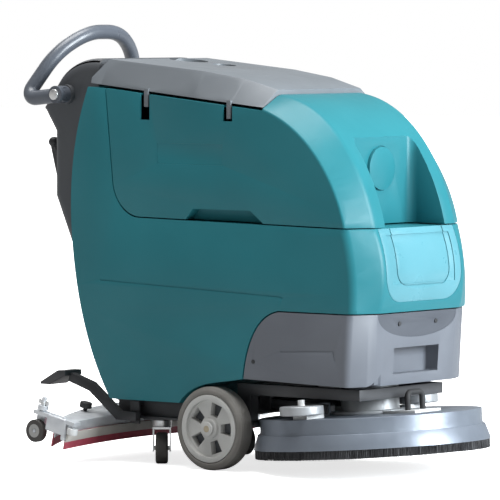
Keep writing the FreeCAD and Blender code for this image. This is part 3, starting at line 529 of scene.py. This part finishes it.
nodeFinishes = {
    "base_frame": "blackPaint", "lower_tank": "teal", "front_cover": "cover",
    "cover_screws": "blackPaint", "console_housing": "console", "console_panel": "blackPlastic",
    "handle_hoop": "handle", "handle_bolts": "zinc", "battery_pack": "blackPlastic",
    "controller_box": "motor", "vacuum_housing": "blackPlastic", "main_axle": "zinc",
    "axle_caps": "rim", "hinge_leaves": "zinc", "suction_hose": "hose",
    "recovery_tank": "teal", "tank_hinges": "zinc", "float_cage": "white",
    "float_ball": "white", "tank_lid": "lid", "lid_gasket": "rubber",
    "deck_arms": "blackPaint", "brush_deck": "deck", "deck_skirt": "rubber",
    "brush_motor": "motor", "deck_brackets": "white", "deck_bumper": "rubber",
    "brush_hub": "zinc", "brush_block": "blackPlastic", "brush_bristles": "bristle",
    "deck_pedal": "blackPaint", "squeegee_arm": "blackPaint", "squeegee_frame": "alloy",
    "squeegee_spout": "blackPlastic", "front_blade": "blade", "rear_blade": "blade",
    "right_end_bracket": "alloy", "left_end_bracket": "alloy", "squeegee_lever": "blackPaint",
    "key_switch": "zinc", "water_knob": "blackPlastic", "brush_switch": "red",
    "vacuum_switch": "blackPlastic", "vacuum_fan": "blackPlastic",
    "right_wheel_disc": "rim", "right_wheel_tyre": "tyre",
    "left_wheel_disc": "rim", "left_wheel_tyre": "tyre",
}


def finishFor(name):
    if name in nodeFinishes:
        return nodeFinishes[name]
    if name in finishes:
        return name
    if "caster" in name:
        return "zinc"
    if "guide_roller" in name:
        return "motor"
    if "bumper_roller" in name:
        return "white"
    return "blackPlastic"


def paintNode(name):
    node = nodes[name]
    finish = finishes[finishFor(name)]
    if not node.data.materials:
        node.data.materials.append(finish)
    for slot in node.material_slots:
        slot.material = finish


for nodeName in nodes:
    paintNode(nodeName)
print("materials assigned")


# modelling helpers

def only(piece):
    if bpy.context.object and bpy.context.object.mode != "OBJECT":
        bpy.ops.object.mode_set(mode="OBJECT")
    bpy.ops.object.select_all(action="DESELECT")
    piece.select_set(True)
    bpy.context.view_layer.objects.active = piece


def editAll(piece):
    only(piece)
    bpy.ops.object.mode_set(mode="EDIT")
    bpy.ops.mesh.select_all(action="SELECT")


def leaveEdit():
    bpy.ops.object.mode_set(mode="OBJECT")


def joinAll(pieces):
    only(pieces[0])
    for other in pieces[1:]:
        other.select_set(True)
    bpy.ops.object.join()
    return pieces[0]


def plainCopy(source, pieceName):
    piece = bpy.data.objects.new(pieceName, source.data.copy())
    bpy.context.scene.collection.objects.link(piece)
    return piece


def mergedCopy(name, pieceName):
    piece = plainCopy(nodes[name], pieceName)
    editAll(piece)
    bpy.ops.mesh.remove_doubles(threshold=0.00002)
    bpy.ops.mesh.dissolve_limited(angle_limit=math.radians(0.6))
    leaveEdit()
    return piece


def prism(pieceName, points, side, depth):
    # an outline drawn on the plane across "side", pushed out by depth (all millimetres)
    bpy.ops.mesh.primitive_circle_add(vertices=len(points), fill_type="NGON")
    piece = bpy.context.object
    piece.name = pieceName
    for vertex, point in zip(piece.data.vertices, points):
        vertex.co = at(point[0], side, point[1])
    editAll(piece)
    bpy.ops.mesh.extrude_region_move(TRANSFORM_OT_translate={"value": (0, depth / 1000, 0)})
    bpy.ops.mesh.select_all(action="SELECT")
    bpy.ops.mesh.normals_make_consistent(inside=False)
    leaveEdit()
    return piece


def frontPrism(pieceName, points, back, depth):
    # the same, drawn on the plane X = back as (Y, Z)
    bpy.ops.mesh.primitive_circle_add(vertices=len(points), fill_type="NGON")
    piece = bpy.context.object
    piece.name = pieceName
    for vertex, point in zip(piece.data.vertices, points):
        vertex.co = at(back, point[0], point[1])
    editAll(piece)
    bpy.ops.mesh.extrude_region_move(TRANSFORM_OT_translate={"value": (depth / 1000, 0, 0)})
    bpy.ops.mesh.select_all(action="SELECT")
    bpy.ops.mesh.normals_make_consistent(inside=False)
    leaveEdit()
    return piece


def softBox(pieceName, low, high, radius, segments=3):
    low, high = at(*low), at(*high)
    bpy.ops.mesh.primitive_cube_add(size=1, location=(low + high) / 2)
    piece = bpy.context.object
    piece.name = pieceName
    piece.scale = [abs(a) for a in high - low]
    bpy.ops.object.transform_apply(location=True, rotation=True, scale=True)
    editAll(piece)
    bpy.ops.mesh.bevel(offset=radius / 1000, segments=segments, affect="EDGES")
    leaveEdit()
    return piece


def drum(pieceName, radius, start, end, vertices=48, edge=0.0):
    # a turned bar between two points, its rims rounded by edge
    start, end = at(*start), at(*end)
    line = end - start
    bpy.ops.mesh.primitive_cylinder_add(vertices=vertices, radius=radius / 1000, depth=line.length,
                                        location=(start + end) / 2,
                                        rotation=line.to_track_quat("Z", "Y").to_euler())
    piece = bpy.context.object
    piece.name = pieceName
    bpy.ops.object.transform_apply(location=True, rotation=True, scale=True)
    if edge:
        roundEdges(piece, edge, "part")
    return piece


# how finely an edge is rounded, and the fold in degrees from which it counts as one
edgeKinds = {
    "nose": (6, 6), "shoulder": (5, 6), "pocket": (4, 60), "lidTop": (3, 12),
    "console": (4, 30), "small": (2, 30), "part": (3, 40), "trim": (2, 40),
}


def roundEdges(piece, width, kind, where=None):
    segments, angle = edgeKinds[kind]
    editAll(piece)
    bpy.ops.mesh.select_all(action="DESELECT")
    bpy.ops.mesh.select_mode(type="EDGE")
    mesh = bmesh.from_edit_mesh(piece.data)
    for edge in mesh.edges:
        if len(edge.link_faces) != 2:
            continue
        middle = (edge.verts[0].co + edge.verts[1].co) / 2 - at(0, 0, 0)
        if edge.calc_face_angle(0) > math.radians(angle) and (where is None or where(middle * 1000)):
            edge.select = True
    bmesh.update_edit_mesh(piece.data)
    bpy.ops.mesh.bevel(offset=width / 1000, segments=segments, affect="EDGES", clamp_overlap=True)
    leaveEdit()


def boolean(piece, tool, operation):
    only(piece)
    modifier = piece.modifiers.new(operation.lower(), "BOOLEAN")
    modifier.operation = operation
    modifier.object = tool
    bpy.ops.object.modifier_apply(modifier=modifier.name)
    only(tool)
    bpy.ops.object.delete()


def smooth(piece, angle=32):
    only(piece)
    bpy.ops.object.shade_smooth_by_angle(angle=math.radians(angle))


def place(piece, body, finish, slotName=None, replaced=()):
    piece.data.materials.clear()
    piece.data.materials.append(finishes[finish])
    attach(piece, body)
    if replaced:
        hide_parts(*replaced)


def paintFaces(piece, finish, where):
    # a second finish on the faces picked by their middle (mm from the axle), direction,
    # furthest side and lowest corner; it paints the paler sheen and the darker shade onto faces
    piece.data.materials.append(finishes[finish])
    slotIndex = len(piece.data.materials) - 1
    for face in piece.data.polygons:
        middle = (face.center - at(0, 0, 0)) * 1000
        corners = [piece.data.vertices[index].co * 1000 for index in face.vertices]
        reach = max(abs(corner.y) for corner in corners)
        low = min(corner.z for corner in corners)
        if where(middle, face.normal, reach, low):
            face.material_index = slotIndex


bodySizes = {"halfWidth": 230.0, "noseHalfWidth": 162.0, "overCut": 2.0}


def atNoseCorner(p):
    return abs(abs(p.y) - bodySizes["noseHalfWidth"]) < 1.0


def atSideCorner(p):
    return abs(abs(p.y) - bodySizes["halfWidth"]) < 0.6


def cutSideLine(piece, outline, depth):
    # the same groove on both sides of the body
    over = bodySizes["overCut"]
    for start in (-bodySizes["halfWidth"] - over, bodySizes["halfWidth"] - depth):
        line = prism("side_line_cutter", outline, start, over + depth)
        boolean(piece, line, "DIFFERENCE")


# upper tank

upperTankSizes = {
    "labelBox": ((-167, -232, 727), (31, -228.4, 777)), "labelEdge": 1.2,
    "shoulder": 14.0, "frontEdge": 26.0, "smallEdge": 1.6, "noseFrom": 152, "foot": 592,
    "boss": {"middle": (333, 0, 721), "radius": 51.2, "groove": 2.4, "behind": 8, "before": 2,
             "coreReach": 12, "facets": 96},
}


def cutBossRing(piece, boss):
    x, y, z = boss["middle"]
    ring = drum("boss_ring", boss["radius"] + boss["groove"], (x - boss["behind"], y, z),
                (x + boss["before"], y, z), boss["facets"])
    core = drum("boss_core", boss["radius"], (x - boss["coreReach"], y, z),
                (x + boss["coreReach"], y, z), boss["facets"])
    boolean(ring, core, "DIFFERENCE")
    boolean(piece, ring, "DIFFERENCE")


def makeUpperTank(sizes):
    piece = mergedCopy("recovery_tank", "upper_tank_shell")
    label = softBox("label_cutter", *sizes["labelBox"], sizes["labelEdge"], 2)
    boolean(piece, label, "DIFFERENCE")
    cutBossRing(piece, sizes["boss"])
    roundEdges(piece, sizes["frontEdge"], "nose",
               lambda p: atNoseCorner(p) and p.x > sizes["noseFrom"])
    roundEdges(piece, sizes["shoulder"], "shoulder",
               lambda p: atSideCorner(p) and p.x > sizes["noseFrom"] and p.z > sizes["foot"])
    roundEdges(piece, sizes["smallEdge"], "small")
    smooth(piece)
    place(piece, "recovery_tank", "teal", "recovery_tank", ["recovery_tank"])


# lower tank

lowerTankSizes = {
    "frontEdge": 26.0, "shoulder": 14.0, "smallEdge": 1.6,
    "noseFrom": 390, "shoulderFrom": 380, "foot": 390,
    "shield": {"halfWidth": 103, "top": 590, "bottom": 452, "corner": 34, "groove": 3.0, "depth": 2.5},
    "apron": {"halfWidth": 150, "top": 590, "bottom": 412, "corner": 62, "groove": 1.2, "depth": 0.8},
    "cutter": {"back": 380, "depth": 90, "coreBack": 370, "coreDepth": 110},
    "paintedFrom": 425, "paleSlack": 0.4, "cornerSteps": 8,
    "ledge": [(-343, 441), (205, 420), (211, 417), (213, 419), (207, 423.4), (-343, 444.4)],
    "ledgeDepth": 1.5,
}


def shieldOutline(shield, grow, steps):
    half = shield["halfWidth"] + grow
    low = shield["bottom"] - grow
    radius = shield["corner"] + grow
    points = [(-half, shield["top"]), (half, shield["top"])]
    for turn, side in ((0, 1), (1, -1)):
        for step in range(steps + 1):
            angle = math.pi / 2 * (step / steps + turn)
            points.append((side * (half - radius) + radius * math.cos(angle),
                           low + radius - radius * math.sin(angle)))
    return points


def onShield(shield, p):
    # inside the outline, its rounded lower corners included
    across = abs(p.y) - (shield["halfWidth"] - shield["corner"])
    down = shield["bottom"] + shield["corner"] - p.z
    return across < 0 or down < 0 or math.hypot(across, down) < shield["corner"] - 0.5


def cutShield(piece, shield, cutter, steps):
    # a groove round a plate on the nose of the tank, as deep all round
    ring = frontPrism("shield_ring", shieldOutline(shield, shield["groove"], steps),
                      cutter["back"], cutter["depth"])
    inner = frontPrism("shield_plate", shieldOutline(shield, 0, steps),
                       cutter["coreBack"], cutter["coreDepth"])
    boolean(ring, inner, "DIFFERENCE")
    floor = plainCopy(piece, "shield_floor")
    editAll(floor)
    bpy.ops.transform.translate(value=(-shield["depth"] / 1000, 0, 0))
    leaveEdit()
    boolean(ring, floor, "DIFFERENCE")
    boolean(piece, ring, "DIFFERENCE")


def makeLowerTank(sizes):
    piece = mergedCopy("lower_tank", "lower_tank_shell")
    roundEdges(piece, sizes["frontEdge"], "nose",
               lambda p: atNoseCorner(p) and p.x > sizes["noseFrom"] and p.z > sizes["foot"])
    roundEdges(piece, sizes["shoulder"], "shoulder",
               lambda p: atSideCorner(p) and p.x > sizes["shoulderFrom"] and p.z > sizes["foot"])
    for plate in ("apron", "shield"):
        cutShield(piece, sizes[plate], sizes["cutter"], sizes["cornerSteps"])
    cutSideLine(piece, sizes["ledge"], sizes["ledgeDepth"])
    roundEdges(piece, sizes["smallEdge"], "small")
    smooth(piece)
    place(piece, "machine", "teal", "lower_tank", ["lower_tank"])
    apron = sizes["apron"]
    slack = sizes["paleSlack"]
    # painted sheen: the faces inside the apron outline take the paler shield finish
    paintFaces(piece, "shield",
               lambda p, n, reach, low: n.x > 0.5 and p.x > sizes["paintedFrom"] and p.z < apron["top"]
               and reach < apron["halfWidth"] + slack and low > apron["bottom"] - slack
               and onShield(apron, p))


# front cover

coverSizes = {
    "frontEdge": 24.0, "shoulder": 12.0, "smallEdge": 1.4, "noseFrom": 405, "shoulderFrom": 390,
    "pocket": {"halfWidth": 90, "from": 400, "to": 437, "low": 238, "high": 306, "corner": 7.0},
    "scoop": {"middle": 386, "halfWidth": 158, "height": 60, "hinge": (430, 0, 386), "lean": 2.4,
              "steps": 24, "fullness": 0.8, "back": 380, "depth": 100, "paintedFrom": 400},
    "sideLine": [(205, 290.6), (358, 297.6), (364, 276), (367, 276), (361, 300.4), (205, 293.4)],
    "sideLineDepth": 1.4,
}


def scoopOutline(scoop):
    points = []
    for step in range(scoop["steps"] + 1):
        angle = math.pi * step / scoop["steps"]
        points.append((-scoop["halfWidth"] * math.cos(angle),
                       scoop["middle"] - scoop["height"] * math.sin(angle) ** scoop["fullness"]))
    return points


def inScoop(scoop, p):
    fall = (1 - (p.y / scoop["halfWidth"]) ** 2) ** (scoop["fullness"] / 2)
    return p.z < scoop["middle"] and (scoop["middle"] - p.z) / scoop["height"] < fall * 0.98


def cutScoop(piece, scoop):
    # a shallow hollow that leans in towards its lower edge
    leaning = plainCopy(piece, "scoop_floor")
    editAll(leaning)
    bpy.ops.transform.rotate(value=math.radians(-scoop["lean"]), orient_axis="Y",
                             center_override=at(*scoop["hinge"]))
    leaveEdit()
    tool = frontPrism("scoop_cutter", scoopOutline(scoop), scoop["back"], scoop["depth"])
    boolean(tool, leaning, "DIFFERENCE")
    boolean(piece, tool, "DIFFERENCE")


def makeCover(sizes):
    piece = mergedCopy("front_cover", "front_cover_shell")
    pocket = sizes["pocket"]
    roundEdges(piece, pocket["corner"], "pocket",
               lambda p: abs(abs(p.y) - pocket["halfWidth"]) < 1.0
               and pocket["from"] < p.x < pocket["to"] and pocket["low"] < p.z < pocket["high"])
    roundEdges(piece, sizes["frontEdge"], "nose",
               lambda p: atNoseCorner(p) and p.x > sizes["noseFrom"])
    roundEdges(piece, sizes["shoulder"], "shoulder",
               lambda p: atSideCorner(p) and p.x > sizes["shoulderFrom"])
    scoop = sizes["scoop"]
    cutScoop(piece, scoop)
    cutSideLine(piece, sizes["sideLine"], sizes["sideLineDepth"])
    roundEdges(piece, sizes["smallEdge"], "small")
    smooth(piece)
    place(piece, "machine", "cover", "front_cover", ["front_cover"])
    # painted shade: the faces in the scoop take the darker hollow finish
    paintFaces(piece, "hollow",
               lambda p, n, reach, low: n.x > 0.8 and p.x > scoop["paintedFrom"]
               and reach < scoop["halfWidth"] and inScoop(scoop, p))


# lid and console

lidSizes = {"topEdge": 5.0, "topFrom": 900, "topOutside": 150, "smallEdge": 1.2}


def makeLid(sizes):
    piece = mergedCopy("tank_lid", "tank_lid_shell")
    roundEdges(piece, sizes["topEdge"], "lidTop",
               lambda p: p.z > sizes["topFrom"] and abs(p.y) > sizes["topOutside"])
    roundEdges(piece, sizes["smallEdge"], "small")
    smooth(piece)
    place(piece, "lid", "lid", "tank_lid", ["tank_lid"])


# the rear wall is upright down to its knee, and slopes forward by foot over drop below it
consoleSizes = {
    "corner": 8.0, "halfWidth": 185, "behind": -390, "smallEdge": 1.5,
    "wallX": -533, "kneeZ": 640, "foot": 48, "drop": 109,
    "ventRows": (560, 572, 584, 596, 608, 620, 632), "ventStart": 60, "ventEnd": 150,
    "ventHeight": 5, "ventDepth": 2.2, "ventEdge": 1.0, "ventOut": 20,
}


def cutVents(piece, sizes):
    # louvres in the lower rear wall, clear of the lever
    for row in sizes["ventRows"]:
        wall = sizes["wallX"] + max(0, sizes["kneeZ"] - row) * sizes["foot"] / sizes["drop"]
        slot = softBox("vent_cutter", (wall - sizes["ventOut"], sizes["ventStart"], row),
                       (wall + sizes["ventDepth"], sizes["ventEnd"], row + sizes["ventHeight"]),
                       sizes["ventEdge"], 2)
        boolean(piece, slot, "DIFFERENCE")


def makeConsole(sizes):
    piece = mergedCopy("console_housing", "console_shell")
    cutVents(piece, sizes)
    roundEdges(piece, sizes["corner"], "console",
               lambda p: abs(abs(p.y) - sizes["halfWidth"]) < 1.0 and p.x < sizes["behind"])
    roundEdges(piece, sizes["smallEdge"], "small")
    smooth(piece)
    place(piece, "machine", "console", "console_housing", ["console_housing"])


for makePiece, settings in ((makeUpperTank, upperTankSizes), (makeLowerTank, lowerTankSizes),
                            (makeCover, coverSizes), (makeLid, lidSizes), (makeConsole, consoleSizes)):
    makePiece(settings)
    print(makePiece.__name__, "done")


# the rest: copies of the frame parts with their edges rounded, by this many millimetres

softened = {
    "base_frame": 1.2, "cover_screws": 0.3, "console_panel": 1.2, "handle_bolts": 1.2,
    "battery_pack": 3.0, "controller_box": 2.0, "vacuum_housing": 2.0, "axle_caps": 1.5,
    "hinge_leaves": 0.6, "tank_hinges": 0.6, "lid_gasket": 0.8, "deck_arms": 1.0,
    "brush_deck": 1.8, "brush_motor": 1.6, "deck_brackets": 1.2, "deck_bumper": 1.5,
    "brush_hub": 1.0, "brush_block": 2.0, "deck_pedal": 1.2, "squeegee_arm": 1.0,
    "squeegee_frame": 1.0, "squeegee_spout": 1.2, "front_blade": 0.4, "rear_blade": 0.4,
    "squeegee_lever": 1.0, "key_switch": 0.5, "water_knob": 1.0,
    "brush_switch": 0.6, "vacuum_switch": 0.6, "vacuum_fan": 0.6,
    "right_caster_wheel": 4.0, "left_caster_wheel": 4.0,
    "right_guide_roller": 2.5, "left_guide_roller": 2.5,
    "right_support_wheel": 3.0, "left_support_wheel": 3.0,
    "right_bumper_roller": 1.5, "left_bumper_roller": 1.5,
    "right_clamp_knob": 2.0, "left_clamp_knob": 2.0,
    "right_wheel_disc": 2.0, "left_wheel_disc": 2.0, "right_wheel_tyre": 5.0, "left_wheel_tyre": 5.0,
}


def softenPart(name, width):
    piece = mergedCopy(name, name + "_finished")
    roundEdges(piece, width, "part")
    smooth(piece)
    place(piece, nodes[name]["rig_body"], finishFor(name), name, [name])


for nodeName, width in softened.items():
    softenPart(nodeName, width)
print("small parts softened")


# bristle skirt round the deck

skirtSizes = {
    "rows": ((273.2, 0.0), (276.2, 0.4), (279.2, 0.75)), "count": 420, "radius": 1.15, "tip": 0.5,
    "low": 0.8, "high": 23.5, "lean": 0.0009, "seed": 4, "facets": 5, "smoothAngle": 60,
}
deckRaise = {"turn": 4.05, "hinge": (308, 0, 43)}


def deckTurn():
    # from the deck drawn level about its own middle to the deck at rest, raised
    turn = Matrix.Rotation(math.radians(-deckRaise["turn"]), 4, "Y")
    return Matrix.Translation(at(*deckRaise["hinge"])) @ turn


def bristleRow(name, radius, shift, sizes):
    middle = (radius / 1000, 0, (sizes["high"] + sizes["low"]) / 2000)
    bpy.ops.mesh.primitive_cone_add(vertices=sizes["facets"], radius1=sizes["tip"] / 1000,
                                    radius2=sizes["radius"] / 1000,
                                    depth=(sizes["high"] - sizes["low"]) / 1000,
                                    end_fill_type="NOTHING", location=middle)
    row = bpy.context.object
    row.name = name
    bpy.ops.object.transform_apply(location=True, rotation=True, scale=True)
    step = 2 * math.pi / sizes["count"]
    pivot = bpy.data.objects.new(name + "_turn", None)
    pivot.rotation_euler = (0, 0, step)
    bpy.context.scene.collection.objects.link(pivot)
    only(row)
    ring = row.modifiers.new("ring", "ARRAY")
    ring.use_relative_offset = False
    ring.use_object_offset = True
    ring.offset_object = pivot
    ring.count = sizes["count"]
    bpy.context.view_layer.update()
    bpy.ops.object.modifier_apply(modifier="ring")
    only(pivot)
    bpy.ops.object.delete()
    editAll(row)
    bpy.ops.transform.vertex_random(offset=sizes["lean"], seed=sizes["seed"] + int(radius))
    leaveEdit()
    row.rotation_euler = (0, 0, shift * step)
    only(row)
    bpy.ops.object.transform_apply(location=True, rotation=True, scale=True)
    return row


def makeSkirt(sizes):
    rows = [bristleRow("skirt_row", radius, shift, sizes) for radius, shift in sizes["rows"]]
    piece = joinAll(rows)
    piece.name = "deck_skirt_bristles"
    piece.data.transform(deckTurn())
    smooth(piece, sizes["smoothAngle"])
    place(piece, "deck", "bristle", "deck_skirt", ["deck_skirt"])


rollerBolts = {
    "middle": (-30, 231), "low": 126.6, "high": 133, "radius": 7.5, "boltEdge": 0.8,
    "washer": 11, "washerThick": 1.6, "washerEdge": 0.4,
}


def makeRollerBolt(side, sizes):
    x, y = sizes["middle"]
    y = y * side
    low = (x, y, sizes["low"])
    bolt = drum("roller_bolt", sizes["radius"], low, (x, y, sizes["high"]), 6, sizes["boltEdge"])
    washer = drum("roller_washer", sizes["washer"], low,
                  (x, y, sizes["low"] + sizes["washerThick"]), 32, sizes["washerEdge"])
    joinAll([bolt, washer])
    bolt.data.transform(deckTurn() @ Matrix.Translation(-at(0, 0, 0)))
    smooth(bolt)
    place(bolt, "deck", "zinc")


makeSkirt(skirtSizes)
for side in (-1, 1):
    makeRollerBolt(side, rollerBolts)
print("bristle skirt and roller bolts done")


# squeegee: pale strap over the blade, cast end cheeks, wing nuts

squeegeeRaise = {"turn": 12.0, "hinge": (-150, 0, 128)}


def turnSqueegee(piece, direction):
    # the squeegee is drawn lowered and level: direction 1 raises a piece to rest, -1 lowers it
    hinge = at(*squeegeeRaise["hinge"])
    turn = Matrix.Rotation(math.radians(direction * squeegeeRaise["turn"]), 4, "Y")
    piece.data.transform(Matrix.Translation(hinge) @ turn @ Matrix.Translation(-hinge))


strapSizes = {"bottom": 22.0, "forward": 1.6, "trim": 0.6}


def makeStrap(sizes):
    # the blade's upper part, stepped forward of it
    piece = mergedCopy("front_blade", "squeegee_strap")
    turnSqueegee(piece, -1)
    editAll(piece)
    bpy.ops.mesh.bisect(plane_co=at(0, 0, sizes["bottom"]), plane_no=(0, 0, 1),
                        clear_inner=True, use_fill=True)
    bpy.ops.mesh.select_all(action="SELECT")
    bpy.ops.transform.translate(value=(sizes["forward"] / 1000, 0, 0))
    leaveEdit()
    turnSqueegee(piece, 1)
    roundEdges(piece, sizes["trim"], "trim")
    smooth(piece)
    place(piece, "squeegee", "strap")


cheekSizes = {
    "band": ((-373, 376.6, 38), (-311, 388.6, 79)), "bandRound": 5.0,
    "lug": ((-322, 376.6, 26), (-311, 388.6, 44)), "lugRound": 4.0, "castEdge": 1.5,
    "screws": (-360, -324), "screwSide": 380, "screwLow": 79, "screwHigh": 3.0,
    "screwRadius": 4.5, "screwEdge": 0.8,
}


def sided(box, side):
    low, high = box
    if side > 0:
        return low, high
    return (low[0], -high[1], low[2]), (high[0], -low[1], high[2])


def makeCheek(name, side, sizes):
    piece = mergedCopy(name, name + "_cast")
    roundEdges(piece, sizes["castEdge"], "part")
    added = []
    for part in ("band", "lug"):
        low, high = sided(sizes[part], side)
        added.append(softBox("cheek_" + part, low, high, sizes[part + "Round"], 4))
    y, z = side * sizes["screwSide"], sizes["screwLow"]
    for x in sizes["screws"]:
        added.append(drum("cheek_screw", sizes["screwRadius"], (x, y, z),
                          (x, y, z + sizes["screwHigh"]), 24, sizes["screwEdge"]))
    for part in added:
        turnSqueegee(part, 1)
    joinAll([piece, *added])
    smooth(piece)
    place(piece, "squeegee", "alloy", name, [name])


wingSizes = {
    "middle": (-398, 375), "low": 92, "high": 100, "radius": 6.5, "nutEdge": 1.0,
    "reach": 16, "root": 2, "thick": 3, "lift": 2, "rise": 5, "wingEdge": 1.3,
}


def makeWingNut(side, sizes):
    x, y = sizes["middle"]
    y = y * side
    low, high = sizes["low"], sizes["high"]
    pieces = [drum("wing_nut", sizes["radius"], (x, y, low), (x, y, high), 32, sizes["nutEdge"])]
    for way in (-1, 1):
        ends = sorted((x + way * (sizes["radius"] - sizes["root"]), x + way * sizes["reach"]))
        pieces.append(softBox("wing", (ends[0], y - sizes["thick"] / 2, low + sizes["lift"]),
                              (ends[1], y + sizes["thick"] / 2, high + sizes["rise"]),
                              sizes["wingEdge"], 3))
    nut = joinAll(pieces)
    turnSqueegee(nut, 1)
    smooth(nut)
    place(nut, "squeegee", "zinc")


for side in (-1, 1):
    makeWingNut(side, wingSizes)
makeStrap(strapSizes)
for bracketName, side in (("right_end_bracket", -1), ("left_end_bracket", 1)):
    makeCheek(bracketName, side, cheekSizes)
print("squeegee done")


# wheel hubs: a bush in the middle and a dark web behind the windows

hubSizes = {
    "axle": 100, "bushRadius": 8.0, "capFace": 250.0, "bushRise": 0.8, "bushEdge": 0.6,
    "webRadius": 68.0, "webNear": 213.0, "webFar": 216.0, "webEdge": 0.8,
    "boreRadius": 24, "boreNear": 200, "boreFar": 230,
}


def makeHub(side, bodyName, sizes):
    def onAxle(distance):
        return (0, side * distance, sizes["axle"])

    bush = drum(bodyName + "_bush", sizes["bushRadius"], onAxle(sizes["capFace"] - 1),
                onAxle(sizes["capFace"] + sizes["bushRise"]), 32, sizes["bushEdge"])
    smooth(bush)
    place(bush, "machine", "bronze")
    web = drum(bodyName + "_web", sizes["webRadius"], onAxle(sizes["webNear"]),
               onAxle(sizes["webFar"]), 64, sizes["webEdge"])
    bore = drum("web_bore", sizes["boreRadius"], onAxle(sizes["boreNear"]), onAxle(sizes["boreFar"]), 48)
    boolean(web, bore, "DIFFERENCE")
    smooth(web)
    place(web, bodyName, "console")


for bodyName, side in (("right_wheel", -1), ("left_wheel", 1)):
    makeHub(side, bodyName, hubSizes)
print("wheel hubs done")


# operator panel: a plain gauge face and a row of lamps

panelFrame = {"middle": (-544, 0, 892), "slope": 53.0}


def panelPoint(along, up, out):
    # Y along the panel, distance up its slope and out of its face (mm)
    slope = math.radians(panelFrame["slope"])
    x, y, z = panelFrame["middle"]
    return (x + up * math.cos(slope) - out * math.sin(slope), y + along,
            z + up * math.sin(slope) + out * math.cos(slope))


panelSizes = {
    "sunk": 2.0, "gaugeAlong": -105, "gaugeUp": 8,
    "gauge": (("gauge_bezel", 17.0, 1.2, "zinc", 0.6), ("gauge_face", 14.5, 1.6, "white", 0.4),
              ("gauge_hub", 2.4, 2.6, "blackPlastic", 0.3)),
    "lamps": {"along": (-125, -118, -111, -104, -97, -90), "up": -20, "radius": 2.2, "out": 1.6,
              "edge": 0.6, "redOnes": 2},
}


def panelDisc(name, along, up, radius, out, finish, edge):
    disc = drum(name, radius, panelPoint(along, up, -panelSizes["sunk"]),
                panelPoint(along, up, out), 48, edge)
    smooth(disc)
    place(disc, "machine", finish)


def makePanelDetails(sizes):
    for name, radius, out, finish, edge in sizes["gauge"]:
        panelDisc(name, sizes["gaugeAlong"], sizes["gaugeUp"], radius, out, finish, edge)
    lamps = sizes["lamps"]
    for index, along in enumerate(lamps["along"]):
        panelDisc("panel_lamp_" + str(index), along, lamps["up"], lamps["radius"], lamps["out"],
                  "red" if index < lamps["redOnes"] else "shield", lamps["edge"])


makePanelDetails(panelSizes)
print("operator panel done")
